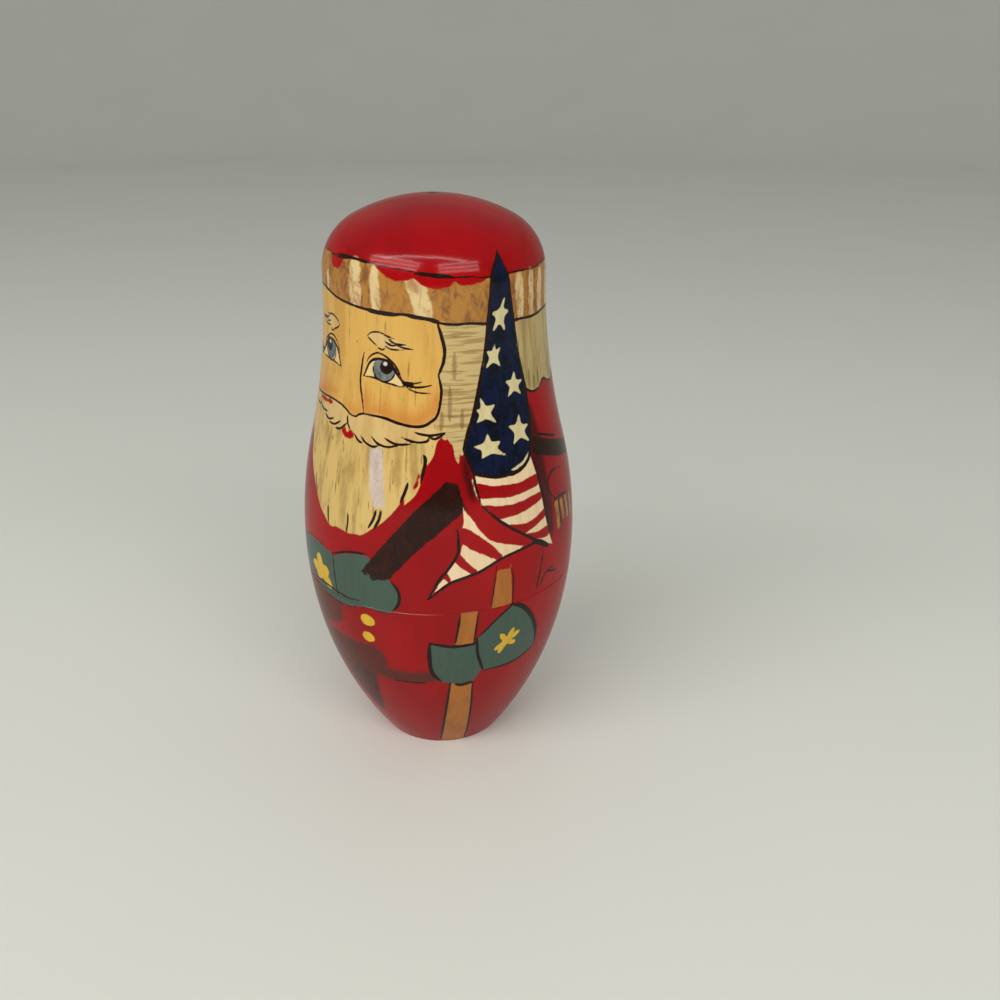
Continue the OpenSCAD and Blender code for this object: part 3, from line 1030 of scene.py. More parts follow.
@dataclass(frozen=True)
class LowerFigure:
    """What is painted on a bottom half: coat, buttons, sash, the flag's pole and the mitten on it."""

    hand: Points = (
        (38.9, 40.2), (38.9, 40.2), (48.4, 39.2), (58.2, 39.4), (58.2, 39.4), (60, 36), (62, 31.4),
        (58, 27.4), (52.4, 26.8), (43.4, 28), (39.5, 31), (38.6, 36))
    cuff: Points = (
        (58.7, 41), (58.7, 41), (67, 45.6), (74.8, 48.9), (74.8, 48.9), (82.4, 45), (88.6, 39),
        (90.8, 32.4), (90.8, 32.4), (77.4, 30.4), (63, 30.4), (63, 30.4), (60, 35))
    pole: Points = (
        (51.6, 50), (51.6, 50), (58.5, 50), (58.5, 50), (56.9, 40), (57.8, 26.8), (60, 12), (62.4, -1),
        (62.4, -1), (40.6, -1), (40.6, -1), (44.4, 12), (47.6, 27.6), (49.6, 40.4))

    def paint(self, canvas: Canvas) -> None:
        """Paints the whole bottom half.

        Args:
            canvas: The skin of a bottom half.
        """
        canvas.patch(Layer.SASH, [
            (-46, 33), (-40, 36.4), (-30, 38), (-18, 37.6), (-5, 37), (3.4, 37), (9, 37.3), (13.8, 37.2),
            (17.8, 35.5), (18.4, 32.4), (18, 31), (29, 30.8), (40, 31), (40, 27.8), (28, 27.4), (18, 27.2),
            (12, 27.6), (9, 24.4), (5, 21.6), (0, 20), (-7, 21), (-14, 23.4), (-24, 26), (-34, 28),
            (-42, 29.6)])
        canvas.patch(Layer.SHADE, [
            (9, 26), (8, 20), (6, 14.6), (3, 12), (-2, 12.6), (-6, 15), (-12, 19), (-14, 24), (0, 28)])
        canvas.patch(Layer.SASH, [
            (0.6, 50), (0.6, 50), (-1.4, 45), (-3, 42), (-8, 40), (-22, 38), (-34, 42), (-40, 50),
            (-40, 50)])
        canvas.patch(Layer.POLE, self.pole)
        canvas.patches(Layer.MITTEN, (self.hand, self.cuff))
        canvas.patch(Layer.MITTEN, [
            (-24, 50), (-10, 48.2), (2, 47.5), (9, 48.4), (14, 48.7), (22, 48.5), (24, 50)])
        canvas.brushed_star(Layer.YELLOW, (72.4, 38.2), [
            (69.4, 40.6), (75.4, 41.4), (78.4, 40), (76.6, 37), (67.4, 36.4), (69.4, 35.2)], 1.4)
        canvas.spot(Layer.YELLOW, 12.4, 45, 1.95, 1.65)
        canvas.spot(Layer.YELLOW, 11.4, 39.9, 1.75, 1.5)
        canvas.strokes(Layer.INK, [
            Stroke([(-24, 49), (-10, 47.9), (2, 47.2), (9, 48.3)], 0.4),
            Stroke([(9, 48.4), (15, 48.5), (23, 48.3)], 0.34),
            Stroke([(58.4, 39.6), (48.4, 39.4), (38.6, 40.6)], 0.95, tail=0.6),
            Stroke([(38.7, 40.4), (38.3, 36), (39.2, 31), (43, 28)], 1.1, tail=0.4),
            Stroke([(49.6, 26.8), (53, 26.3), (58.4, 27)], 1.2, tail=0.3),
            Stroke([(58.4, 41.2), (59.3, 36), (62.6, 30.2)], 0.8, tail=0.5),
            Stroke([(72.8, 48.8), (78, 47.6), (84, 43.8), (89, 38.4), (91, 33)], 1.3, tail=0.3),
            Stroke([(91, 32.6), (84, 31), (77.4, 30.2), (63, 30.2)], 0.8, tail=0.5),
            Stroke([(58.6, 41.2), (67, 45.9), (74.6, 49)], 0.6, tail=0.4),
            Stroke([(51.4, 48.8), (49.4, 40.6)], 0.6, tail=0.6),
            Stroke([(58.7, 48.8), (57.2, 40.2)], 0.5, tail=0.6),
            Stroke([(47.4, 27.4), (44.2, 12), (40.8, 1)], 0.7, tail=0.6),
            Stroke([(58, 26.6), (60.2, 12), (62.4, 1)], 0.6, tail=0.6),
            Stroke([(17, 27), (28, 27.2), (39, 27.6)], 0.6),
            Stroke([(19, 31), (29, 31), (38.4, 31.2)], 0.3),
        ])


@dataclass(frozen=True)
class Mark:
    """A noise in the object's own coordinates, and the marks that it leaves.

    Attributes:
        scale: Cells per metre.
        stretch: Scale of each axis; a small number draws the cells out along it.
        detail: Octaves of finer noise.
        low: Noise below which there is no mark.
        high: Noise above which a mark is full.
        depth: Strength of a full mark.
        roughness: How strong the finer octaves are.
        warp: How far the noise distorts itself.
    """

    scale: float
    stretch: tuple[float, float, float] = (1.0, 1.0, 1.0)
    detail: float = 3.0
    low: float = 0.0
    high: float = 1.0
    depth: float = 1.0
    roughness: float = 0.55
    warp: float = 0.0


class ShaderPad:
    """A material's node tree, with short ways to add what the paints need."""

    def __init__(self, name: str) -> None:
        """Makes an empty material.

        Args:
            name: Name of the material.
        """
        self.material = bpy.data.materials.new(name)
        self.material.use_nodes = True
        self.tree = self.material.node_tree
        self.tree.nodes.clear()
        self.object_coords = self.add("ShaderNodeTexCoord").outputs["Object"]

    def add(self, kind: str, **settings: object) -> bpy.types.Node:
        """Adds a node.

        Args:
            kind: The node's type.
            **settings: Properties to set on it.

        Returns:
            The node.
        """
        node = self.tree.nodes.new(kind)
        for name, value in settings.items():
            setattr(node, name, value)
        return node

    def put(self, target: Socket, value: Socket | float | Colour) -> None:
        """Links a socket to an input, or sets the input to a constant.

        Args:
            target: The input.
            value: The socket or the constant.
        """
        if isinstance(value, bpy.types.NodeSocket):
            self.tree.links.new(value, target)
        else:
            target.default_value = value

    def math(self, operation: str, first: Socket | float, second: Socket | float) -> Socket:
        """Adds a math node with two inputs.

        Args:
            operation: What it does with them.
            first: Its first input.
            second: Its second input.

        Returns:
            The socket of its result.
        """
        node = self.add("ShaderNodeMath", operation=operation)
        self.put(node.inputs[0], first)
        self.put(node.inputs[1], second)
        return node.outputs[0]

    def ramp(self, value: Socket, low: float, high: float, at_low: float, at_high: float) -> Socket:
        """Maps a value from one range to another, smoothly and within its ends.

        Args:
            value: The value.
            low: Start of its range.
            high: End of its range.
            at_low: What the start maps to.
            at_high: What the end maps to.

        Returns:
            The socket of the mapped value.
        """
        node = self.add("ShaderNodeMapRange", interpolation_type="SMOOTHSTEP")
        self.put(node.inputs["Value"], value)
        for name, number in zip(("From Min", "From Max", "To Min", "To Max"), (low, high, at_low, at_high)):
            node.inputs[name].default_value = number
        return node.outputs["Result"]

    def mix(self, share: Socket | float, first: Socket | Colour, second: Socket | Colour) -> Socket:
        """Mixes two colours.

        Args:
            share: Share of the second.
            first: The first colour.
            second: The second colour.

        Returns:
            The socket of the mixed colour.
        """
        node = self.add("ShaderNodeMix", data_type="RGBA")
        self.put(node.inputs["Factor"], share)
        self.put(node.inputs[6], first)
        self.put(node.inputs[7], second)
        return node.outputs[2]

    def noise(self, mark: Mark) -> Socket:
        """Adds a noise.

        Args:
            mark: Its measures.

        Returns:
            The socket of its value.
        """
        mapping = self.add("ShaderNodeMapping")
        mapping.inputs["Scale"].default_value = mark.stretch
        self.put(mapping.inputs["Vector"], self.object_coords)
        node = self.add("ShaderNodeTexNoise")
        self.put(node.inputs["Vector"], mapping.outputs["Vector"])
        node.inputs["Scale"].default_value = mark.scale
        node.inputs["Detail"].default_value = mark.detail
        node.inputs["Roughness"].default_value = mark.roughness
        node.inputs["Distortion"].default_value = mark.warp
        return node.outputs["Fac"]

    def marks(self, mark: Mark) -> Socket:
        """Strength of the marks that a noise leaves."""
        return self.ramp(self.noise(mark), mark.low, mark.high, 0.0, mark.depth)

    def bump(self, height: Socket, distance: float, strength: float) -> Socket:
        """Adds a bump.

        Args:
            height: What stands proud.
            distance: How far, in metres.
            strength: Share of the bump that shows.

        Returns:
            The socket of the normal.
        """
        node = self.add("ShaderNodeBump")
        node.inputs["Strength"].default_value = strength
        node.inputs["Distance"].default_value = distance
        self.put(node.inputs["Height"], height)
        return node.outputs["Normal"]

    def surface(self, **inputs: Socket | float | Colour) -> bpy.types.Material:
        """Ends the tree in one principled shader.

        Args:
            **inputs: The shader's inputs, with underscores for the spaces in their names.

        Returns:
            The finished material.
        """
        shader = self.add("ShaderNodeBsdfPrincipled")
        for name, value in inputs.items():
            self.put(shader.inputs[name.replace("_", " ")], value)
        output = self.add("ShaderNodeOutputMaterial")
        self.tree.links.new(shader.outputs["BSDF"], output.inputs["Surface"])
        return self.material


@dataclass(frozen=True)
class PaintedFigureFinish:
    """A ground coat of red, layers of hand-laid paint over it, and gloss varnish over the whole."""

    name: str = "painted_figure_varnish"
    red: Colour = srgb(156, 0, 8)
    worn_red: Colour = srgb(130, 0, 8)
    wear: Mark = Mark(70, (1.0, 1.0, 0.5), detail=3.0, low=0.35, high=0.65, depth=0.6)
    edge: Mark = Mark(620, detail=2.0)
    streak: Mark = Mark(900, (1.0, 1.0, 0.1), detail=3.0, low=0.38, high=0.70, depth=0.45)
    blotch: Mark = Mark(420, (1.0, 1.0, 0.55), detail=4.0, low=0.42, high=0.64, depth=1.0,
                        roughness=0.68, warp=0.6)
    board: Mark = Mark(330, (1.0, 1.0, 0.03), detail=4.0, low=0.42, high=0.66, depth=0.6)
    vessel: Mark = Mark(1400, (1.0, 1.0, 0.03), detail=1.0, low=0.64, high=0.72, depth=0.8)
    comb: Mark = Mark(800, (0.12, 0.12, 2.2), detail=2.0, low=0.50, high=0.62, depth=0.8)
    lump: Mark = Mark(260)
    ripple: Mark = Mark(150, (1.0, 1.0, 0.5))
    streak_relief: float = 0.6
    lump_relief: float = 0.9
    relief_depth: float = 0.00008
    relief_strength: float = 0.4
    ripple_depth: float = 0.0003
    ripple_strength: float = 0.3
    paint_roughness: float = 0.6
    varnish_tint: Colour = srgb(255, 247, 232)
    varnish_share: float = 0.6
    varnish_roughness: float = 0.13
    varnish_ior: float = 1.44

    def material(self) -> bpy.types.Material:
        """Builds the material from the paint layers.

        Returns:
            The material, which reads the layers' attributes.
        """
        pad = ShaderPad(self.name)
        edge = pad.math("SUBTRACT", pad.noise(self.edge), 0.5)
        streak = pad.marks(self.streak)
        brushes = {
            Brush.STREAKED: streak,
            Brush.GRAINED: pad.math("MAXIMUM", pad.marks(self.board), pad.marks(self.vessel)),
            Brush.LINED: pad.marks(self.comb),
            Brush.BLOTCHED: pad.marks(self.blotch),
        }
        colour = pad.mix(pad.marks(self.wear), self.red, self.worn_red)
        for paint in PAINTS:
            distance = pad.add("ShaderNodeAttribute", attribute_name=paint.layer.attribute).outputs["Fac"]
            wandering = pad.math("ADD", distance, pad.math("MULTIPLY", edge, 2 * paint.ragged))
            share = pad.ramp(wandering, -paint.soft, paint.soft, paint.cover, 0.0)
            colour = pad.mix(share, colour, pad.mix(brushes[paint.brush], paint.colour, paint.shade))
        lumps = pad.math("MULTIPLY", pad.noise(self.lump), self.lump_relief)
        relief = pad.math("ADD", pad.math("MULTIPLY", streak, self.streak_relief), lumps)
        return pad.surface(
            Base_Color=colour,
            Roughness=self.paint_roughness,
            Specular_IOR_Level=0.0,
            Normal=pad.bump(relief, self.relief_depth, self.relief_strength),
            Coat_Weight=self.varnish_share,
            Coat_Roughness=self.varnish_roughness,
            Coat_IOR=self.varnish_ior,
            Coat_Tint=self.varnish_tint,
            Coat_Normal=pad.bump(pad.noise(self.ripple), self.ripple_depth, self.ripple_strength),
        )


@dataclass(frozen=True)
class BareWoodFinish:
    """Bare turned lime wood, with the rings that the turning tool leaves."""

    name: str = "bare_lime_wood"
    pale: Colour = srgb(222, 184, 132)
    dark: Colour = srgb(190, 142, 90)
    vessel_colour: Colour = srgb(150, 102, 60)
    grain: Mark = Mark(300, (1.0, 1.0, 0.06), detail=4.0, low=0.35, high=0.7, depth=1.0)
    vessel: Mark = Mark(900, (1.0, 1.0, 0.03), detail=2.0, low=0.60, high=0.70, depth=0.6)
    ring: Mark = Mark(1400, (0.03, 0.03, 1.0), detail=2.0)
    ring_depth: float = 0.0003
    ring_strength: float = 0.45
    roughness: float = 0.62

    def material(self) -> bpy.types.Material:
        """Builds the material: grain along the turning axis and fine rings across it.

        Returns:
            The material.
        """
        pad = ShaderPad(self.name)
        grain = pad.mix(pad.marks(self.grain), self.pale, self.dark)
        return pad.surface(
            Base_Color=pad.mix(pad.marks(self.vessel), grain, self.vessel_colour),
            Roughness=self.roughness,
            Normal=pad.bump(pad.noise(self.ring), self.ring_depth, self.ring_strength),
        )


@dataclass(frozen=True)
class TableFinish:
    """Pale glossy table top."""

    name: str = "pale_table"
    pale: Colour = srgb(232, 233, 225)
    dull: Colour = srgb(226, 227, 219)
    cloud: Mark = Mark(5, detail=2.0, low=0.3, high=0.7)
    glossiest: float = 0.3
    dullest: float = 0.36
    specular: float = 0.3

    def material(self) -> bpy.types.Material:
        """Builds the material: one pale tone with slow, faint changes of gloss.

        Returns:
            The material.
        """
        pad = ShaderPad(self.name)
        cloud = pad.noise(self.cloud)
        return pad.surface(
            Base_Color=pad.mix(cloud, self.pale, self.dull),
            Roughness=pad.ramp(cloud, self.cloud.low, self.cloud.high, self.glossiest, self.dullest),
            Specular_IOR_Level=self.specular,
        )


def ring_numbers(rings: int, count: int) -> tuple[Array, Array]:
    """Vertex numbers of a stack of rings, and the number of each vertex's neighbour on its ring."""
    number = np.arange(rings * count).reshape(rings, count)
    return number, np.roll(number, -1, axis=1)


def smooth_mesh(name: str, points: Array, groups: Sequence[Array], places: Array) -> bpy.types.Mesh:
    """Makes a smooth mesh from arrays.

    Args:
        name: Name of the mesh.
        points: Rows of x, y and z, in metres.
        groups: Groups of faces.  A group has a row of vertex numbers for each of its faces.
        places: Material place of each face, group after group.

    Returns:
        The mesh.
    """
    loops = np.concatenate([group.ravel() for group in groups])
    sizes = np.concatenate([np.full(len(group), group.shape[1]) for group in groups])
    starts = np.concatenate([[0], np.cumsum(sizes)[:-1]])
    mesh = bpy.data.meshes.new(name)
    mesh.vertices.add(len(points))
    mesh.vertices.foreach_set("co", points.astype(np.float32).ravel())
    mesh.loops.add(len(loops))
    mesh.loops.foreach_set("vertex_index", loops.astype(np.int32))
    mesh.polygons.add(len(sizes))
    mesh.polygons.foreach_set("loop_start", starts.astype(np.int32))
    mesh.polygons.foreach_set("material_index", places.astype(np.int32))
    mesh.update(calc_edges=True)
    mesh.validate()
    mesh.shade_smooth()
    return mesh


def revolve(name: str, path: Array, columns: Array, finishes: Array) -> bpy.types.Mesh:
    """Turns a half section round the upright axis into a closed mesh.

    Ring i, column j lies at (r sin a, -r cos a, z), with r and z from the path and a from the
    columns.  The path starts and ends on the axis, where it has one vertex.  The sign of the area
    that the path encloses tells which way round the faces go for their fronts to look outward.

    Args:
        name: Name of the mesh.
        path: Rows of radius and height, in metres.
        columns: Azimuths of the columns, in degrees.
        finishes: Material place of each step of the path.

    Returns:
        The mesh, with its rings first and its two poles last.
    """
    rings, count = path[1:-1], len(columns)
    grid = in_space(rings[:, :1], columns, rings[:, 1:])
    poles = np.array([[0, 0, path[0, 1]], [0, 0, path[-1, 1]]])
    points = np.concatenate([grid.reshape(-1, 3), poles])
    number, after = ring_numbers(len(rings), count)
    quads = np.stack([number[:-1], after[:-1], after[1:], number[1:]], axis=-1).reshape(-1, 4)
    first, last = number.size, number.size + 1
    start_fan = np.stack([np.full(count, first), after[0], number[0]], axis=-1)
    end_fan = np.stack([np.full(count, last), number[-1], after[-1]], axis=-1)
    r, z = path.T
    outward = float(np.sum(r[:-1] * z[1:] - r[1:] * z[:-1])) > 0.0
    order = slice(None, None, 1 if outward else -1)
    groups = [faces[:, order] for faces in (quads, start_fan, end_fan)]
    places = np.concatenate([np.repeat(finishes[1:-1], count), np.repeat(finishes[[0, -1]], count)])
    return smooth_mesh(name, points, groups, places)


@dataclass
class DollSkin:
    """The grids that the figure is painted on, shared by all the dolls.

    Attributes:
        outline: The dolls' outline.
        seam_ease: Width of the soft edge at the seam.
        column_count: How many columns the grids have.
        upper_rows: How many rows the upper grid has.
        lower_rows: How many rows the lower grid has.
        upper_weight: Heights and how close together the upper rows are there.
        column_weight: Azimuths and how close together the columns are there.
        fine_steps: Steps of the turn over which the columns' weight is summed.
    """

    outline: DollOutline = DollOutline()
    seam_ease: float = 0.14
    column_count: int = 380
    upper_rows: int = 236
    lower_rows: int = 104
    upper_weight: Points = (
        (0, 1.0), (86, 1.0), (89, 1.6), (116, 1.6), (119, 1.2), (129, 1.1), (132, 0.4), (140, 0.4))
    column_weight: Points = (
        (-180, 0.3), (-60, 0.3), (-45, 0.9), (-25, 1.2), (48, 1.2), (56, 1.0), (96, 1.0), (112, 0.6),
        (140, 0.3), (180, 0.3))

    fine_steps: int = 3600

    def __post_init__(self) -> None:
        """Lays out the grids and paints them."""
        step = np.linspace(-180.0, 180.0, self.fine_steps + 1)
        weight = np.interp(step, *np.array(self.column_weight).T)
        run = np.concatenate([[0.0], np.cumsum(weight[:-1])])
        even = np.linspace(0.0, run[-1], self.column_count, endpoint=False)
        self.columns = np.interp(even, run, step)
        outline, ease = self.outline, self.seam_ease
        upper = outline.rows(outline.seam_z + ease, outline.height, self.upper_rows + 1, self.upper_weight)
        upper[:, 1] -= outline.pip_depth * np.exp(-((upper[:, 0] / outline.pip_r) ** 2))
        lower = outline.rows(0.0, outline.seam_z - ease, self.lower_rows)
        self.crown = upper[-1:]
        self.upper = Canvas(outline, upper[:-1], self.columns)
        self.lower = Canvas(outline, lower, self.columns)
        UpperFigure().paint(self.upper)
        LowerFigure().paint(self.lower)
        LOG.info("figure painted on %d points", self.upper.azimuth.size + self.lower.azimuth.size)


@dataclass(frozen=True)
class Fit:
    """Where one doll stands, in millimetres.

    Attributes:
        scale: Its size against the outer doll.
        foot: Height of its foot.
        seam: Height of its seam.
        spigot_end: Height of its spigot's end.
    """

    scale: float
    foot: float
    seam: float = 0.0
    spigot_end: float = 0.0

    def place(self, path: Array) -> Array:
        """A path on the outer doll, at this doll's size and place."""
        return path * self.scale + [0.0, self.foot]


@dataclass
class Doll:
    """One doll of the set: how finely it is made, and how its halves fit.

    Attributes:
        name: First word of its nodes' names.
        skin: The shared, painted skin.
        finishes: The paint and the bare wood.
        thin: Every which column and row of the skin this doll keeps.
        socket_t: Thickness of the socket's wall at the belly.
        spigot_t: Thickness of the spigot's wall.
        spigot_gap: Gap between spigot and socket.
        spigot_end_gap: Gap between the spigot's end and the socket's shoulder.
        spigot_chamfer: Chamfer on the spigot's rim.
        hollow_rows: Rows of the hollow in each half.
        foot_rings: Radii of the rings under the foot, as shares of the foot's own.
        sharp_deg: Angle from which an edge is shown sharp.
    """

    name: str
    skin: DollSkin
    finishes: list[bpy.types.Material]
    thin: tuple[int, int] = (1, 1)
    socket_t: float = 2.6
    spigot_t: float = 2.3
    spigot_gap: float = 0.1
    spigot_end_gap: float = 0.5
    spigot_chamfer: float = 0.5
    hollow_rows: int = 14
    foot_rings: tuple[float, ...] = (0.0, 0.35, 0.7)
    sharp_deg: float = 32.0

    def kept_rows(self, canvas: Canvas) -> Array:
        """Numbers of the canvas's rows that this doll keeps, both ends among them."""
        count = len(canvas.rows)
        return np.unique(np.append(np.arange(0, count, self.thin[1]), count - 1))

    def painted(self, canvas: Canvas, rows: Array) -> dict[Layer, Array]:
        """The layers of paint on some of a canvas's rows, at this doll's columns."""
        grids = {layer: values.reshape(canvas.shape) for layer, values in canvas.layers.items()}
        return {layer: grid[rows][:, :: self.thin[0]] for layer, grid in grids.items()}

    def sole(self, skin: Array) -> Array:
        """Rings under the foot, from the axis out, for a skin whose first row is the foot's edge."""
        return np.array([[share * skin[0, 0], skin[0, 1]] for share in self.foot_rings])

    def build(self, node: str, path: Array, finishes: Array, first: int,
              paint: dict[Layer, Array]) -> bpy.types.Object:
        """Makes a piece from its half section, and puts the paint on its skin.

        Args:
            node: The node that it stands for.
            path: Its half section in millimetres, from axis to axis.
            finishes: Material place of each step of the path.
            first: Ring where the skin's rows start.
            paint: The layers on the skin, a row for each ring of it.

        Returns:
            The piece.
        """
        mesh = revolve(node, path * MM, self.skin.columns[:: self.thin[0]], finishes)
        for material in self.finishes:
            mesh.materials.append(material)
        rings = len(path) - 2
        for layer, skin in paint.items():
            grid = np.pad(skin, ((first, rings - first - len(skin)), (0, 0)), mode="edge")
            poles = [grid[0].mean(), grid[-1].mean()]
            attribute = mesh.attributes.new(layer.attribute, "FLOAT", "POINT")
            attribute.data.foreach_set("value", np.concatenate([grid.ravel(), poles]).astype(np.float32))
        mesh.set_sharp_from_angle(angle=math.radians(self.sharp_deg))
        piece = bpy.data.objects.new(f"{node}_painted", mesh)
        bpy.context.scene.collection.objects.link(piece)
        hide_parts(node)
        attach(piece, node)
        LOG.info("%s: %d faces", piece.name, len(mesh.polygons))
        return piece

    def fit(self, top: str, bottom: str) -> Fit:
        """Reads the doll's place from the frame.

        Args:
            top: Node of its top half.
            bottom: Node of its bottom half.

        Returns:
            Its place.
        """
        top_low, top_high = (np.array(corner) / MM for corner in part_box(top))
        bottom_low, bottom_high = (np.array(corner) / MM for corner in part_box(bottom))
        scale = (top_high[0] - top_low[0]) / 2 / self.skin.outline.belly_r
        return Fit(scale, float(bottom_low[2]), float(top_low[2]), float(bottom_high[2]))

    def socket_r(self, fit: Fit) -> float:
        """Inner radius of the socket."""
        return self.skin.outline.belly_r * fit.scale - self.socket_t

    def rim_r(self, fit: Fit) -> float:
        """Radius of the flat rim at the seam, inside the skin's rounded edge."""
        outline = self.skin.outline
        return float(outline.radius(np.array([outline.seam_z]))[0]) * fit.scale - self.skin.seam_ease

    def hollow_scale(self, fit: Fit) -> float:
        """Size of the hollow against the outer doll: smaller by the whole wall at the belly."""
        wall = self.socket_t + self.spigot_gap + self.spigot_t
        return fit.scale - wall / self.skin.outline.belly_r

    def on_outline(self, fit: Fit, height: float) -> float:
        """Height on the shared outline of a height in the hollow."""
        return self.skin.outline.seam_z + (height - fit.seam) / self.hollow_scale(fit)

    def hollow(self, fit: Fit, low: float, high: float) -> Array:
        """Draws the shared outline smaller about the seam, as the hollow.

        Args:
            fit: The doll's place.
            low: Height on the shared outline where the hollow starts.
            high: Height on it where the hollow ends.

        Returns:
            Rows of radius and height, from the low end up.
        """
        outline = self.skin.outline
        rows = outline.rows(low, high, self.hollow_rows)
        return (rows - [0.0, outline.seam_z]) * self.hollow_scale(fit) + [0.0, fit.seam]

    def top_half(self, node: str, fit: Fit) -> bpy.types.Object:
        """Builds the top half: the skin from the crown down, then the socket and the hollow.

        Args:
            node: The node that it stands for.
            fit: The doll's place.

        Returns:
            The piece.
        """
        canvas = self.skin.upper
        rows = self.kept_rows(canvas)[::-1]
        skin = fit.place(np.concatenate([self.skin.crown, canvas.rows[rows]]))
        socket, shoulder = self.socket_r(fit), fit.spigot_end + self.spigot_end_gap
        inner = np.array([[self.rim_r(fit), fit.seam], [socket, fit.seam], [socket, shoulder]])
        hollow = self.hollow(fit, self.on_outline(fit, shoulder), self.skin.outline.height)
        path = np.concatenate([skin, inner, hollow])
        finishes = np.full(len(path) - 1, Finish.BARE.value)
        finishes[: len(skin)] = Finish.PAINT.value
        return self.build(node, path, finishes, 0, self.painted(canvas, rows))

    def bottom_half(self, node: str, fit: Fit) -> bpy.types.Object:
        """Builds the bottom half: the sole, the skin upwards, the spigot, and the hollow down.

        Args:
            node: The node that it stands for.
            fit: The doll's place.

        Returns:
            The piece.
        """
        canvas = self.skin.lower
        rows = self.kept_rows(canvas)
        skin = fit.place(canvas.rows[rows])
        sole = self.sole(skin)
        spigot, chamfer = self.socket_r(fit) - self.spigot_gap, self.spigot_chamfer
        inner = np.array([
            [self.rim_r(fit), fit.seam], [spigot, fit.seam], [spigot, fit.spigot_end - chamfer],
            [spigot - chamfer, fit.spigot_end]])
        hollow = self.hollow(fit, 0.0, self.on_outline(fit, fit.spigot_end))[::-1]
        path = np.concatenate([sole, skin, inner, hollow, hollow[-1:] * [0.0, 1.0]])
        finishes = np.full(len(path) - 1, Finish.BARE.value)
        finishes[len(sole):len(sole) + len(skin)] = Finish.PAINT.value
        return self.build(node, path, finishes, len(sole) - 1, self.painted(canvas, rows))

    def halves(self) -> list[bpy.types.Object]:
        """Builds both halves of a hollow doll.

        Returns:
            The top and the bottom.
        """
        top, bottom = f"{self.name}_top", f"{self.name}_bottom"
        fit = self.fit(top, bottom)
        return [self.top_half(top, fit), self.bottom_half(bottom, fit)]


@dataclass
class CoreDoll(Doll):
    """The smallest doll, which is solid."""

    def solid(self) -> bpy.types.Object:
        """Builds the solid doll: the sole, then the skin of both halves up to the crown.

        Returns:
            The piece.
        """
        low, high = (np.array(corner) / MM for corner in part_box("core_doll"))
        fit = Fit((high[0] - low[0]) / 2 / self.skin.outline.belly_r, low[2])
        lower, upper = self.skin.lower, self.skin.upper
        below, above = self.kept_rows(lower), self.kept_rows(upper)
        skin = fit.place(np.concatenate([lower.rows[below], upper.rows[above], self.skin.crown]))
        sole = self.sole(skin)
        path = np.concatenate([sole, skin])
        finishes = np.full(len(path) - 1, Finish.PAINT.value)
        finishes[: len(sole)] = Finish.BARE.value
        low_paint, high_paint = self.painted(lower, below), self.painted(upper, above)
        paint = {layer: np.concatenate([low_paint[layer], high_paint[layer]]) for layer in Layer}
        return self.build("core_doll", path, finishes, len(sole) - 1, paint)


@dataclass(frozen=True)
class Softbox:
    """One studio lamp, aimed at the middle of the doll.

    Attributes:
        name: Name of the lamp.
        azimuth: Where it stands round the doll, in degrees.
        elevation: How high it stands, in degrees above the table.
        width: Width of its face, in metres.
        height: Height of its face, in metres.
        power: Its power, in watts.
        distance: How far it stands from what it is aimed at, in metres.
        slats: How many level strips its face is split into.
        strip: Share of its part of the face that a strip fills.
        colour: Colour of its light.
    """

    name: str
    azimuth: float
    elevation: float
    width: float
    height: float
    power: float
    distance: float = 1.2
    slats: int = 1
    strip: float = 0.4
    colour: tuple[float, float, float] = (1.0, 0.98, 0.96)

    def place(self, target: Vector) -> None:
        """Makes the lamp, strip by strip, and aims it.

        Args:
            target: Where it is aimed.
        """
        a, e = math.radians(self.azimuth), math.radians(self.elevation)
        back = Vector((math.sin(a) * math.cos(e), -math.cos(a) * math.cos(e), math.sin(e)))
        turn = back.to_track_quat("Z", "Y")
        pitch = self.height / self.slats
        for slat in range(self.slats):
            lamp = bpy.data.lights.new(f"{self.name}_{slat}", "AREA")
            lamp.shape = "RECTANGLE"
            lamp.size = self.width
            lamp.size_y = pitch * self.strip
            lamp.energy = self.power / self.slats
            lamp.color = self.colour
            holder = bpy.data.objects.new(lamp.name, lamp)
            offset = turn @ Vector((0.0, (slat + (1 - self.slats) / 2) * pitch, 0.0))
            holder.location = target + back * self.distance + offset
            holder.rotation_mode = "QUATERNION"
            holder.rotation_quaternion = turn
            holder.visible_camera = False
            bpy.context.scene.collection.objects.link(holder)


